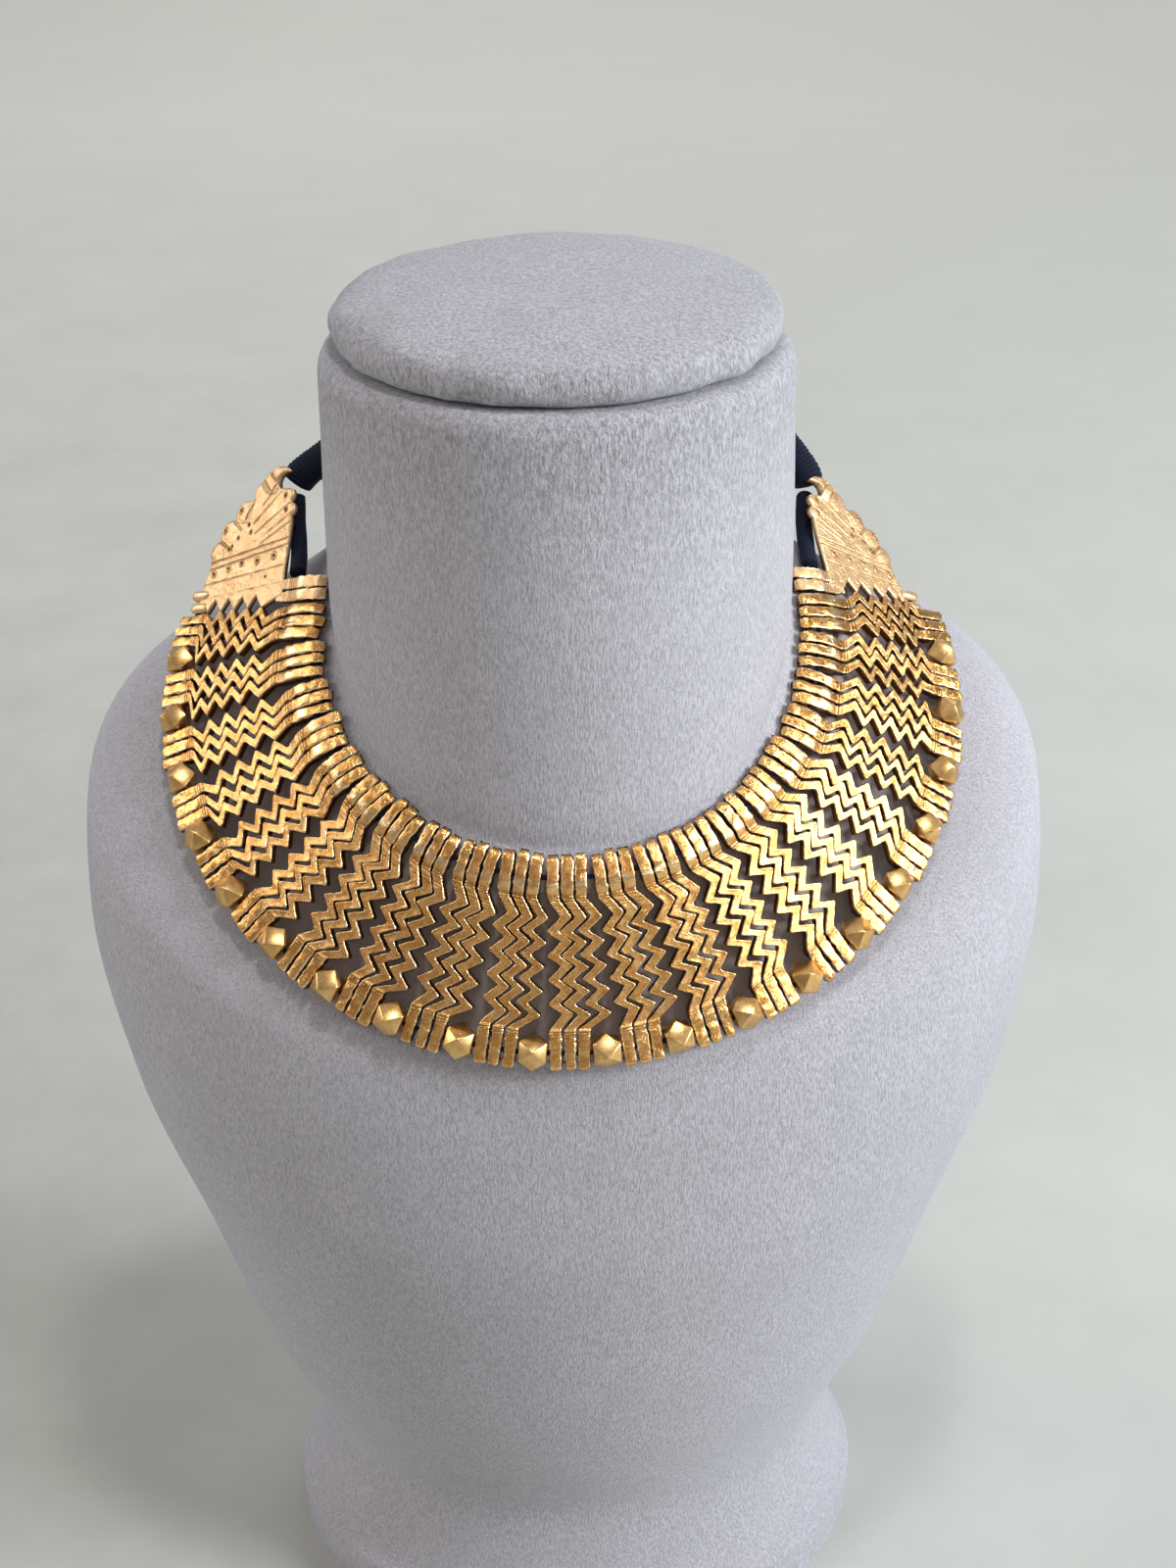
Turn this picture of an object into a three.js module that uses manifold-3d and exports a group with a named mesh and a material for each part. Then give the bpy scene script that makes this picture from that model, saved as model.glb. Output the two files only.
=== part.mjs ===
// Choker of cast zigzag strips and faceted beads on two threads, worn by a flocked neck bust.
// Millimetres. +Z is up and -Y is the bust's front, so +X is at the right of somebody who faces it.
// The Z axis is the axis of the bust's neck, and the origin lies in the flat underside of its base.

import * as THREE from "three";
import { ConvexGeometry } from "three/addons/geometries/ConvexGeometry.js";
import { mergeVertices } from "three/addons/utils/BufferGeometryUtils.js";
import Module from "manifold-3d";

const wasm = await Module();
wasm.setup();

// ---------------------------------------------------------------- driving dimensions

const GROUPS = 21; // groups of strips round the collar
const STRIPS_PER_GROUP = 3;
const HEAD_PITCH = 3.22; // from strip to strip inside a group, along the inner thread
const HEAD_SPACE = 0.93; // added between two groups on the inner thread
const FOOT_PITCH = 3.26; // from strip to strip inside a group, along the outer thread
const BEAD_SPACE = 7.33; // added between two groups on the outer thread, for one bead
const TIGHTER = 0.26; // less of that space toward the +X end, where the beads sit closer
const BEAD_HALF = 3.22; // half the distance between two opposite square faces of a bead
const THREAD_RADIUS = 0.8;

// A strip lies along u, from its inner end. v is across it and w is out of the collar's face.
const INNER_HOLE = 5; // u of the hole for the inner thread
const OUTER_HOLE = 46; // u of the hole for the outer thread
const STRIP_LENGTH = 50;
const HEAD_END = 10.4; // u where the head turns into the zigzag
const FOOT_START = 40.4; // u where the zigzag turns into the foot
const HALF_WIDTH = 1.48; // half of the head's width, and of the foot's
const HALF_LIMB = 1.34; // half of the slice across a limb of the zigzag
const BLOCK = { low: -1.5, high: 1.5 }; // w of the head's and the foot's faces
const WEB = { low: -1.3, high: 0.9 }; // w of the zigzag's faces
const ZIGZAG = { first: 14.1, pitch: 5.65, rise: 3.3, tips: 5, centre: 1.2, swing: 1.76 };
const FAN = 0.9; // how far apart the zigzags of a front group spread by their last tip
// Toward the collar's ends the heads are longer and the zigzags shorter, slimmer and farther apart.
// longer is how far the zigzag's start is pushed toward the foot, fan is this group's spread from
// strip to strip, and hold is which of its strips, counted from 0, stays straight.
const END_GROUPS = [
  { group: 1, longer: 3.8, fan: 1.5, hold: 0 },
  { group: 2, longer: 3.8, fan: 1.4, hold: 0 },
  { group: 3, longer: 1.8, fan: 1, hold: 0 },
  { group: 4, longer: 0.9, fan: 1.05, hold: 0 },
  { group: 5, longer: 0.4, fan: 0.9, hold: 0 },
  { group: 17, longer: 0.7, fan: 0.9, hold: 0 },
  { group: 18, longer: 1.5, fan: 0.9, hold: 0.4 },
  { group: 19, longer: 2.6, fan: 1.05, hold: 0.5 },
  { group: 20, longer: 3, fan: 1.25, hold: 1.4 },
  { group: 21, longer: 6.2, fan: 1.35, hold: 2 },
];
const SLIM_LIMB = 0.12; // how much of a limb's width is lost where heads are longer

// The two threads are rings that dip at the front. Angle 0 is the front and 90 degrees the +X side.
const INNER_THREAD = {
  wide: 60.8, pinch: -1.4, midY: -1.1, deep: 60.1, bendY: -0.15, midZ: 287.6, dip: 48.3, bendZ: 7.1,
};
const OUTER_THREAD = {
  wide: 94.9, pinch: -0.9, skew: -0.4, midY: 8.2, deep: 85.8, bendY: 1.8, midZ: 260.2, dip: 53.8,
  bendZ: 1.6,
};
const THREAD_SWEEP = 2.4; // radians each way from the front over which a thread is measured

const PLATE_THICKNESS = 1.4;
const PLATE_PIVOT = 13; // u of the line about which a plate turns
const RIGHT_TEETH = { first: 17.1, pitch: 5.3, count: 5 };
const LEFT_TEETH = { first: 19.1, pitch: 4.9, count: 5 };
// How each plate lies beside its end strip: slid along u, stretched along v, lifted out of the
// strip's plane and its outer edge turned down, both in degrees.
const RIGHT_PLATE = { slide: -0.9, stretch: 0.95, lift: 3, turn: 5 };
const LEFT_PLATE = { slide: 2, stretch: 1.02, lift: 12, turn: 0 };
const SIDE_CORD_DIAMETER = 4.2;
const BACK_CORD_DIAMETER = 8.4;
const SLIDE = { inner: 4.6, outer: 5.8, length: 10 };

// The bust's sections from its underside to the top of its neck. Each is a ring like a thread, and
// its back half is drawn in by flatY and levelled by flatZ.
const BUST_SECTIONS = [
  // base
  { wide: 81, midY: 0, deep: 66, midZ: 0, dip: 0, bendZ: 0, flatY: 0.05, flatZ: 0 },
  { wide: 81, midY: 0, deep: 66, midZ: 12, dip: 0, bendZ: 0, flatY: 0.05, flatZ: 0 },
  { wide: 78, midY: 0, deep: 63, midZ: 15.5, dip: 0, bendZ: 0, flatY: 0.05, flatZ: 0 },
  // waist and chest
  { wide: 72, midY: 0, deep: 56, midZ: 40, dip: 2, bendZ: 0, flatY: 0.05, flatZ: 1 },
  { wide: 79, midY: 0, deep: 61, midZ: 60, dip: 4, bendZ: 0, flatY: 0.1, flatZ: 1 },
  { wide: 88, midY: 0, deep: 67, midZ: 80, dip: 7, bendZ: 0, flatY: 0.15, flatZ: 1 },
  { wide: 102, midY: 2, deep: 77, midZ: 125, dip: 12, bendZ: 0, flatY: 0.24, flatZ: 1 },
  { wide: 116.5, midY: 5, deep: 83.5, midZ: 170, dip: 20, bendZ: 0, flatY: 0.3, flatZ: 1 },
  { wide: 122.5, midY: 7, deep: 84, midZ: 210, dip: 32, bendZ: 0, flatY: 0.32, flatZ: 0.9 },
  // shoulders
  { wide: 120.5, midY: 8, deep: 82.6, midZ: 237, dip: 41, bendZ: 0, flatY: 0.32, flatZ: 0.85 },
  { wide: 110, midY: 8, deep: 80.4, midZ: 250.6, dip: 49.6, bendZ: 1, flatY: 0.33, flatZ: 0.79 },
  { wide: 92, midY: 8.6, deep: 79.9, midZ: 256.6, dip: 53.2, bendZ: 1.6, flatY: 0.33, flatZ: 0.74 },
  { wide: 58.9, midY: -1, deep: 57.9, midZ: 286.1, dip: 48.3, bendZ: 7.1, flatY: 0, flatZ: 0.62 },
  // neck
  { wide: 54.2, midY: 0, deep: 55.4, midZ: 293.5, dip: 48.5, bendZ: 6.5, flatY: 0.01, flatZ: 0.61 },
  { wide: 55.4, midY: 0, deep: 55.2, midZ: 302, dip: 44, bendZ: 5, flatY: 0, flatZ: 0.57 },
  { wide: 55.3, midY: 0, deep: 54.9, midZ: 316, dip: 29, bendZ: 3, flatY: 0, flatZ: 0.55 },
  { wide: 54.8, midY: 0, deep: 54.6, midZ: 336, dip: 4, bendZ: 0, flatY: 0, flatZ: 0 },
  { wide: 54.6, midY: 0, deep: 54.4, midZ: 347.5, dip: -0.6, bendZ: 0, flatY: 0, flatZ: 0 },
  { wide: 54, midY: 0, deep: 53.8, midZ: 350.2, dip: -0.6, bendZ: 0, flatY: 0, flatZ: 0 },
  { wide: 52.4, midY: 0, deep: 52.2, midZ: 352.4, dip: -0.4, bendZ: 0, flatY: 0, flatZ: 0 },
  { wide: 49.5, midY: 0, deep: 49.5, midZ: 353.2, dip: 0, bendZ: 0, flatY: 0, flatZ: 0 },
];
const BUST_SIDES = 48;
const LID = { radius: 51.35, bottom: 353.5, rim: 358.5, top: 367 };

// ---------------------------------------------------------------- materials

const materials = {
  gold: new THREE.MeshStandardMaterial({ color: 0xd9a441, roughness: 0.38, metalness: 1 }),
  beadGold: new THREE.MeshStandardMaterial({ color: 0xc9963a, roughness: 0.3, metalness: 1 }),
  navyThread: new THREE.MeshStandardMaterial({ color: 0x141a33, roughness: 0.85, metalness: 0 }),
  flock: new THREE.MeshStandardMaterial({ color: 0xaca8ac, roughness: 0.95, metalness: 0 }),
};

// ---------------------------------------------------------------- helpers

const vec = (x, y, z) => new THREE.Vector3(x, y, z);

// A point of a ring at an angle from the front. Behind the widest place, flatY and flatZ shape the ring.
function ringPoint(ring, angle) {
  const { wide, pinch = 0, skew = 0, midY, deep, bendY = 0, midZ, dip, bendZ } = ring;
  const { flatY = 0, flatZ = 0 } = ring;
  const c = Math.cos(angle);
  const x = wide * Math.sin(angle) + pinch * Math.sin(3 * angle) + skew * (1 - c);
  if (c >= 0 || (flatY === 0 && flatZ === 0)) {
    const bend = Math.cos(2 * angle);
    return vec(x, midY - deep * c + bendY * bend, midZ - dip * c + bendZ * bend);
  }
  return vec(x, midY - bendY + deep * (-c - flatY * c * c), midZ - bendZ + dip * (-c - flatZ * c * c));
}

// A thread as a curve measured by its length, with length 0 at the front.
class ThreadCurve extends THREE.Curve {
  constructor(ring) {
    super();
    this.ring = ring;
    this.arcLengthDivisions = 2000;
  }
  getPoint(fraction, target = new THREE.Vector3()) {
    return target.copy(ringPoint(this.ring, (2 * fraction - 1) * THREAD_SWEEP));
  }
  along(length) {
    const fraction = 0.5 + length / this.getLength();
    return { point: this.getPointAt(fraction), tangent: this.getTangentAt(fraction) };
  }
}

// A closed body through rings of points, each ring seen anticlockwise from the last one.
function loft(rings) {
  const sides = rings[0].length;
  const points = rings.flat();
  const index = [];
  for (let r = 0; r < rings.length - 1; r++) {
    for (let i = 0; i < sides; i++) {
      const j = (i + 1) % sides;
      const [a, b, c, d] = [r * sides + i, r * sides + j, (r + 1) * sides + j, (r + 1) * sides + i];
      index.push(a, b, c, a, c, d);
    }
  }
  const last = (rings.length - 1) * sides;
  for (let i = 1; i < sides - 1; i++) {
    index.push(0, i + 1, i);
    index.push(last, last + i, last + i + 1);
  }
  const geometry = new THREE.BufferGeometry().setFromPoints(points);
  geometry.setIndex(index);
  return geometry;
}

function toSolid(geometry) {
  const bare = new THREE.BufferGeometry();
  bare.setAttribute("position", geometry.getAttribute("position").clone());
  if (geometry.index) bare.setIndex(geometry.index.clone());
  const merged = mergeVertices(bare, 1e-4);
  return new wasm.Manifold(
    new wasm.Mesh({
      numProp: 3,
      vertProperties: new Float32Array(merged.getAttribute("position").array),
      triVerts: new Uint32Array(merged.index.array),
    }),
  );
}

function fromSolid(solid) {
  const mesh = solid.getMesh();
  const geometry = new THREE.BufferGeometry();
  geometry.setAttribute("position", new THREE.BufferAttribute(mesh.vertProperties, 3));
  geometry.setIndex(new THREE.BufferAttribute(mesh.triVerts, 1));
  return geometry;
}

const joined = (geometries) => fromSolid(geometries.map(toSolid).reduce((all, one) => all.add(one)));

// The same body turned over in v: the points are mirrored and the faces turned round.
function mirrored(geometry) {
  const copy = geometry.clone().scale(1, -1, 1);
  const index = copy.index.array;
  for (let i = 0; i < index.length; i += 3) [index[i], index[i + 1]] = [index[i + 1], index[i]];
  return copy;
}

// ---------------------------------------------------------------- threads and the strips' places

const innerThread = new ThreadCurve(INNER_THREAD);
const outerThread = new ThreadCurve(OUTER_THREAD);
const STRIPS = GROUPS * STRIPS_PER_GROUP;
const HEAD_GROUP_PITCH = STRIPS_PER_GROUP * HEAD_PITCH + HEAD_SPACE;
const FOOT_GROUP_PITCH = STRIPS_PER_GROUP * FOOT_PITCH + BEAD_SPACE;
const MIDDLE_GROUP = (GROUPS - 1) / 2;

// A strip hung on the two threads: a matrix from (u, v, w) to the collar.
function hungStrip(group, place) {
  const head = innerThread.along(group * HEAD_GROUP_PITCH + place * HEAD_PITCH);
  const footPitch = group > 0 ? FOOT_GROUP_PITCH - TIGHTER : FOOT_GROUP_PITCH;
  const foot = outerThread.along(group * footPitch + place * FOOT_PITCH);
  const u = foot.point.clone().sub(head.point).normalize();
  const tangent = head.tangent.clone().add(foot.tangent);
  const v = tangent.addScaledVector(u, -tangent.dot(u)).normalize();
  const w = u.clone().cross(v);
  const origin = head.point.clone().addScaledVector(u, -INNER_HOLE);
  return { u, origin, frame: new THREE.Matrix4().makeBasis(u, v, w).setPosition(origin) };
}

// Where strip k is. Strip 0 is the end one at -X. The strips of a group nest, because each has slid on
// its threads until it is level with the group's middle strip.
function stripFrame(k) {
  const group = Math.floor(k / STRIPS_PER_GROUP) - MIDDLE_GROUP;
  const place = (k % STRIPS_PER_GROUP) - (STRIPS_PER_GROUP - 1) / 2;
  const { u, origin, frame } = hungStrip(group, place);
  const middle = hungStrip(group, 0);
  const ahead = origin.clone().sub(middle.origin).dot(middle.u);
  return frame.setPosition(origin.addScaledVector(u, -ahead));
}

// ---------------------------------------------------------------- strips

// One slice across a strip: at u, centred on v, between two w.
const slice = (u, v, half, low, high) => [
  vec(u, v - half, low), vec(u, v + half, low), vec(u, v + half, high), vec(u, v - half, high),
];

const endGroup = (group) => END_GROUPS.find((row) => row.group === group + 1);
const longerHeads = (group) => endGroup(group)?.longer ?? 0;
const halfLimb = (longer) => HALF_LIMB * (1 - Math.min(SLIM_LIMB, longer / 12));

// Where u of a plain strip lies in one whose zigzag is pushed toward its foot.
function pushed(u, longer) {
  const inZigzag = THREE.MathUtils.clamp((u - HEAD_END) / (FOOT_START - HEAD_END), 0, 1);
  const inHead = THREE.MathUtils.clamp((u - 3) / (HEAD_END - 3), 0, 1);
  return u + longer * inHead * (1 - inZigzag ** 2);
}

function headSlices(end) {
  const { low, high } = BLOCK;
  return [
    slice(0, 0, HALF_WIDTH - 0.2, low + 0.5, low + 1.5),
    slice(0.8, 0, HALF_WIDTH, low, low + 2.4),
    slice(2.2, 0, HALF_WIDTH, low, high),
    slice(end, 0, HALF_WIDTH, low, high),
  ];
}

// The zigzag's slices turn at each tip, first toward +v, and spread toward +v on the way.
function zigzagSlices(spread, longer) {
  const { first, pitch, rise, tips, centre, swing } = ZIGZAG;
  const last = first + (tips - 1) * pitch;
  const slices = [];
  const turn = (u, side) => {
    const middle = centre + side * swing + (spread * (u - HEAD_END)) / (last - HEAD_END);
    slices.push(slice(pushed(u, longer), middle, halfLimb(longer), WEB.low, WEB.high));
  };
  for (let tip = 0; tip < tips; tip++) {
    turn(first + tip * pitch, 1);
    if (tip < tips - 1) turn(first + tip * pitch + rise, -1);
  }
  return slices;
}

function stripGeometry(spread, longer) {
  return loft([
    ...headSlices(pushed(HEAD_END - 0.9, longer)),
    slice(pushed(HEAD_END, longer), 0, HALF_LIMB, WEB.low, WEB.high),
    ...zigzagSlices(spread, longer),
    slice(FOOT_START, 0, HALF_LIMB, WEB.low, WEB.high),
    slice(FOOT_START + 0.7, 0, HALF_WIDTH - 0.05, BLOCK.low, BLOCK.high),
    slice(STRIP_LENGTH - 0.7, 0, HALF_WIDTH - 0.05, BLOCK.low, BLOCK.high),
    slice(STRIP_LENGTH, 0, HALF_WIDTH - 0.4, BLOCK.low + 0.5, BLOCK.high - 0.5),
  ]);
}

// A stretch of thread between two points inside the strips' blocks.
function threadBar(from, to) {
  const path = new THREE.LineCurve3(from, to);
  const section = new THREE.Shape();
  for (let corner = 0; corner < 3; corner++) {
    const angle = (corner * 2 * Math.PI) / 3;
    const point = [THREAD_RADIUS * Math.cos(angle), THREAD_RADIUS * Math.sin(angle)];
    if (corner === 0) section.moveTo(...point);
    else section.lineTo(...point);
  }
  return new THREE.ExtrudeGeometry(section, { extrudePath: path, steps: 1 });
}

// Three strips on their two threads, with their zigzags fanned out.
function stripGroup(group) {
  const frames = [];
  for (let place = 0; place < STRIPS_PER_GROUP; place++) {
    frames.push(stripFrame(group * STRIPS_PER_GROUP + place));
  }
  const front = FAN * Math.cos(((group - MIDDLE_GROUP) / MIDDLE_GROUP) * (Math.PI / 2));
  const { longer, fan, hold } = endGroup(group) ?? { longer: 0, fan: front, hold: 0 };
  const pieces = frames.map((frame, place) => (
    stripGeometry(fan * (place - hold), longer).applyMatrix4(frame)
  ));
  for (const hole of [INNER_HOLE, OUTER_HOLE]) {
    const holes = frames.map((frame) => vec(hole, 0, 0).applyMatrix4(frame));
    for (let i = 0; i < holes.length - 1; i++) pieces.push(threadBar(holes[i], holes[i + 1]));
  }
  return joined(pieces);
}

// ---------------------------------------------------------------- beads

// A cube with its corners cut off to the middle of each edge: six squares and eight triangles.
// The thread runs through two of the squares, along the bead's X axis.
function beadGeometry() {
  const h = BEAD_HALF;
  const corners = [];
  for (const p of [-h, h]) {
    for (const q of [-h, h]) corners.push(vec(p, q, 0), vec(p, 0, q), vec(0, p, q));
  }
  return new ConvexGeometry(corners);
}

// The bead between two groups. It turns freely on its thread, so each one shows another side.
function beadMesh(number) {
  const before = stripFrame((number + 1) * STRIPS_PER_GROUP - 1);
  const after = stripFrame((number + 1) * STRIPS_PER_GROUP);
  const [start, end] = [before, after].map((frame) => vec(OUTER_HOLE, 0, 0).applyMatrix4(frame));
  const across = vec(0, 1, 0).transformDirection(before).add(vec(0, 1, 0).transformDirection(after));
  const out = vec(0, 0, 1).transformDirection(before).add(vec(0, 0, 1).transformDirection(after));
  const x = across.normalize();
  const z = out.addScaledVector(x, -out.dot(x)).normalize();
  const y = z.clone().cross(x);
  const mesh = new THREE.Mesh(beadGeometry(), materials.beadGold);
  mesh.setRotationFromMatrix(new THREE.Matrix4().makeBasis(x, y, z));
  mesh.rotateX(THREE.MathUtils.degToRad(45 + 17 * Math.sin(5 * (number - MIDDLE_GROUP + 0.5))));
  mesh.position.copy(start.add(end).divideScalar(2));
  return mesh;
}

// ---------------------------------------------------------------- end plates

// Points of a round lobe, from one angle to another in degrees.
function lobe(u, v, radius, fromDegrees, toDegrees, count = 5) {
  const points = [];
  for (let i = 0; i <= count; i++) {
    const angle = THREE.MathUtils.degToRad(fromDegrees + ((toDegrees - fromDegrees) * i) / count);
    points.push([u + radius * Math.cos(angle), v + radius * Math.sin(angle)]);
  }
  return points;
}

// The plate's outline in the last strip's (u, v), with v = 0 on that strip. Its toothed edge meets
// that strip's tips, which reach v = reach.
function plateOutline({ first, pitch, count }, reach) {
  const lower = [];
  for (let tooth = 0; tooth < count; tooth++) {
    const u = first + tooth * pitch;
    lower.push([u, reach + 0.45]);
    if (tooth < count - 1) lower.push([u + pitch / 2, reach + 3.1]);
  }
  return [
    [12.2, 4.4],
    ...lower,
    [39.6, reach + 2],
    [40.6, 3.2],
    [42.0, 3.2],
    [41.8, 7.6],
    [39.8, 13.2],
    ...lobe(37.2, 16.9, 3.1, -30, 75),
    ...lobe(34.2, 21.8, 3.2, -25, 80),
    ...lobe(29.4, 26.4, 3.3, -20, 85),
    ...lobe(23.6, 30.8, 3.3, -25, 60, 3),
    [22.6, 35.2], [20, 37], [17.2, 37.4], [15, 36],
    [17.2, 35.3], [18.4, 33.8], [17.8, 31.8],
    ...lobe(14.5, 29.6, 1.9, 70, 230, 4),
    ...lobe(13.6, 25.9, 1.9, 115, 240, 4),
    [12.4, 22.8],
    [12.4, 9.5],
  ];
}

// One end plate beside an end strip, toward +v, with two loops and two knobs soldered to it.
function endPlate(teeth, reach, { slide, stretch, lift, turn }) {
  const outline = plateOutline(teeth, reach).map(([u, v]) => {
    return new THREE.Vector2(u + slide, reach + (v - reach) * stretch);
  });
  const sheet = new THREE.ExtrudeGeometry(new THREE.Shape(outline), {
    depth: PLATE_THICKNESS, bevelEnabled: false, steps: 1,
  }).translate(0, 0, -PLATE_THICKNESS / 2);
  const turned = [sheet];
  const loops = [];
  for (const step of [1, 2]) {
    const tail = slice(PLATE_PIVOT + 0.6 + Math.max(slide, 0), 1.1, 0.5, -0.6, 0.6);
    const loop = loft([...headSlices(HEAD_END), tail]);
    loops.push(loop.translate(0, step * HEAD_PITCH + 0.6, 0));
    const knob = new THREE.SphereGeometry(1, 8, 6).scale(3.6, 1.45, 1.5);
    turned.push(knob.translate(43.6, step * FOOT_PITCH, 0));
  }
  for (const piece of turned) {
    piece.translate(-PLATE_PIVOT, 0, 0).rotateY(THREE.MathUtils.degToRad(turn)).translate(PLATE_PIVOT, 0, 0);
  }
  return joined([...turned, ...loops]).rotateX(THREE.MathUtils.degToRad(lift));
}

// ---------------------------------------------------------------- cords

// The stretches of cord beside the plates' inner edges, from the loops to the back cord.
const RIGHT_CORD_ROUTE = [
  [61.3, 11.8, 289.6], [61.2, 17.0, 290.4], [61.2, 22.4, 291.7], [61.3, 28.0, 293.3],
  [61.7, 33.2, 295.3], [62.4, 37.9, 297.5],
];
const LEFT_CORD_ROUTE = [
  [-64.4, 13.3, 289.5], [-64.4, 19.0, 291.2], [-64.8, 24.0, 292.7], [-65.2, 28.2, 294.8],
  [-65.5, 32.2, 297.5], [-65.7, 36.1, 300.5],
];
// The back cord, from behind the +X plate's hook, round the back of the neck, to the other hook.
const BACK_CORD_ROUTE = [
  [63.3, 40.0, 298.9], [62.5, 41.2, 301.9], [60.6, 42.3, 304.7], [58.3, 43.6, 307.7],
  [55.4, 45.4, 310.9], [50.6, 48.9, 313.8], [44.0, 52.8, 316.4], [35.0, 56.6, 318.4],
  [23.5, 60.0, 319.6], [11.5, 61.8, 320.0], [0, 62.2, 320.0], [-11.5, 61.8, 319.8],
  [-23.5, 59.8, 318.8], [-35.5, 55.8, 316.8], [-44.0, 51.4, 314.8], [-50.4, 46.6, 312.7],
  [-55.2, 43.1, 310.8], [-58.7, 41.3, 308.8], [-61.2, 40.4, 307.3], [-63.2, 39.7, 306.0],
  [-65.0, 39.1, 304.4], [-66.3, 38.5, 302.8],
];
const SLIDE_PLACE = [0, 62.2, 320.0]; // the slide's middle, on the back cord

// A cord of a round section along a smooth curve through the route's points.
function cordGeometry(route, diameter, sides, steps) {
  const section = new THREE.Shape();
  for (let i = 0; i < sides; i++) {
    const angle = (i * 2 * Math.PI) / sides;
    const point = [(diameter / 2) * Math.cos(angle), (diameter / 2) * Math.sin(angle)];
    if (i === 0) section.moveTo(...point);
    else section.lineTo(...point);
  }
  const path = new THREE.CatmullRomCurve3(route.map((point) => vec(...point)));
  return new THREE.ExtrudeGeometry(section, { extrudePath: path, steps });
}

function slideGeometry() {
  const { inner, outer, length } = SLIDE;
  const half = length / 2;
  const profile = [
    [inner, -half], [outer - 0.8, -half], [outer, -half + 0.8], [outer, half - 0.8],
    [outer - 0.8, half], [inner, half], [inner, -half],
  ];
  return new THREE.LatheGeometry(profile.map(([r, y]) => new THREE.Vector2(r, y)), 20);
}

// ---------------------------------------------------------------- bust

function bustGeometry() {
  const rings = BUST_SECTIONS.map((section) => {
    const ring = [];
    for (let i = 0; i < BUST_SIDES; i++) ring.push(ringPoint(section, (i * 2 * Math.PI) / BUST_SIDES));
    return ring;
  });
  return loft(rings);
}

function lidGeometry() {
  const { radius, bottom, rim, top } = LID;
  const profile = [
    [0, bottom], [radius - 2.2, bottom], [radius - 0.4, bottom + 2], [radius, rim],
    [radius - 1.2, rim + 3], [radius - 5, rim + 5], [radius * 0.6, top - 1.6], [radius * 0.3, top - 0.4],
    [0, top],
  ];
  return new THREE.LatheGeometry(profile.map(([r, z]) => new THREE.Vector2(r, z)), BUST_SIDES);
}

// ---------------------------------------------------------------- assembly

const choker = new THREE.Group();

function addPiece(parent, name, geometry, material) {
  const mesh = new THREE.Mesh(geometry, material);
  mesh.name = name;
  parent.add(mesh);
  return mesh;
}

const twoDigits = (number) => String(number).padStart(2, "0");

for (let group = 0; group < GROUPS; group++) {
  addPiece(choker, `strips_${twoDigits(group + 1)}`, stripGroup(group), materials.gold);
}
for (let number = 0; number < GROUPS - 1; number++) {
  const bead = beadMesh(number);
  bead.name = `bead_${twoDigits(number + 1)}`;
  choker.add(bead);
}

const { centre, swing } = ZIGZAG;
const rightReach = swing + halfLimb(longerHeads(GROUPS - 1)) + centre; // the last strip's tips
const leftReach = swing + halfLimb(longerHeads(0)) - centre; // the first strip's tips
const rightPlate = endPlate(RIGHT_TEETH, rightReach, RIGHT_PLATE);
rightPlate.applyMatrix4(stripFrame(STRIPS - 1));
const leftPlate = mirrored(endPlate(LEFT_TEETH, leftReach, LEFT_PLATE));
leftPlate.applyMatrix4(stripFrame(0));
addPiece(choker, "end_plate_right", rightPlate, materials.gold);
addPiece(choker, "end_plate_left", leftPlate, materials.gold);

const sideCord = (route) => cordGeometry(route, SIDE_CORD_DIAMETER, 8, 8);
addPiece(choker, "side_cord_right", sideCord(RIGHT_CORD_ROUTE), materials.navyThread);
addPiece(choker, "side_cord_left", sideCord(LEFT_CORD_ROUTE), materials.navyThread);
const backCord = cordGeometry(BACK_CORD_ROUTE, BACK_CORD_DIAMETER, 12, 28);
addPiece(choker, "back_cord", backCord, materials.navyThread);
const slide = addPiece(choker, "cord_slide", slideGeometry(), materials.navyThread);
slide.rotation.z = Math.PI / 2;
slide.position.set(...SLIDE_PLACE);

const bust = new THREE.Group();
addPiece(bust, "bust_body", bustGeometry(), materials.flock);
const lid = addPiece(bust, "bust_lid", lidGeometry(), materials.flock);
lid.rotation.x = Math.PI / 2;
choker.add(bust);

export default choker;
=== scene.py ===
"""Looks of the zigzag collar and its neck bust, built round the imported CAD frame.

Metres in Blender; the named sizes below are millimetres, as in the part's own drawing, and mm() turns
them into metres. +Z is up, -Y is the front, and the Z axis is the axis of the bust's neck.
"""

import math

import bmesh
import bpy
import numpy as np
from mathutils import Matrix, Vector
from mathutils.geometry import delaunay_2d_cdt


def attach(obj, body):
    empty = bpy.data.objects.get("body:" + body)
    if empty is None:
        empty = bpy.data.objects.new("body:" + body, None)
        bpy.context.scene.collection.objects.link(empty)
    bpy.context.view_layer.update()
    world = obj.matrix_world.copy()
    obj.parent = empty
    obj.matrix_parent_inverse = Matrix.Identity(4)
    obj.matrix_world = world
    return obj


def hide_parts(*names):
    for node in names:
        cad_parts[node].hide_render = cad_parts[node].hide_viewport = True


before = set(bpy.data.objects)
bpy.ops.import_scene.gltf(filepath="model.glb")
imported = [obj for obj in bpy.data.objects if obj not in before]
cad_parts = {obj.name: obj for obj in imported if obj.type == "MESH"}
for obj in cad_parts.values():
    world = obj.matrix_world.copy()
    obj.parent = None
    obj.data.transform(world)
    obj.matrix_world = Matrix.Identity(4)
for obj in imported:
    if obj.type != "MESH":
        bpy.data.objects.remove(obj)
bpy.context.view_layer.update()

MILLIMETRE = 0.001


def table(columns, *rows):
    """Rows of numbers, each of them under its column's name."""
    return [dict(zip(columns.split(), row)) for row in rows]


def column(rows, name):
    return [row[name] for row in rows]


# ---- the collar's sizes

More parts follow.
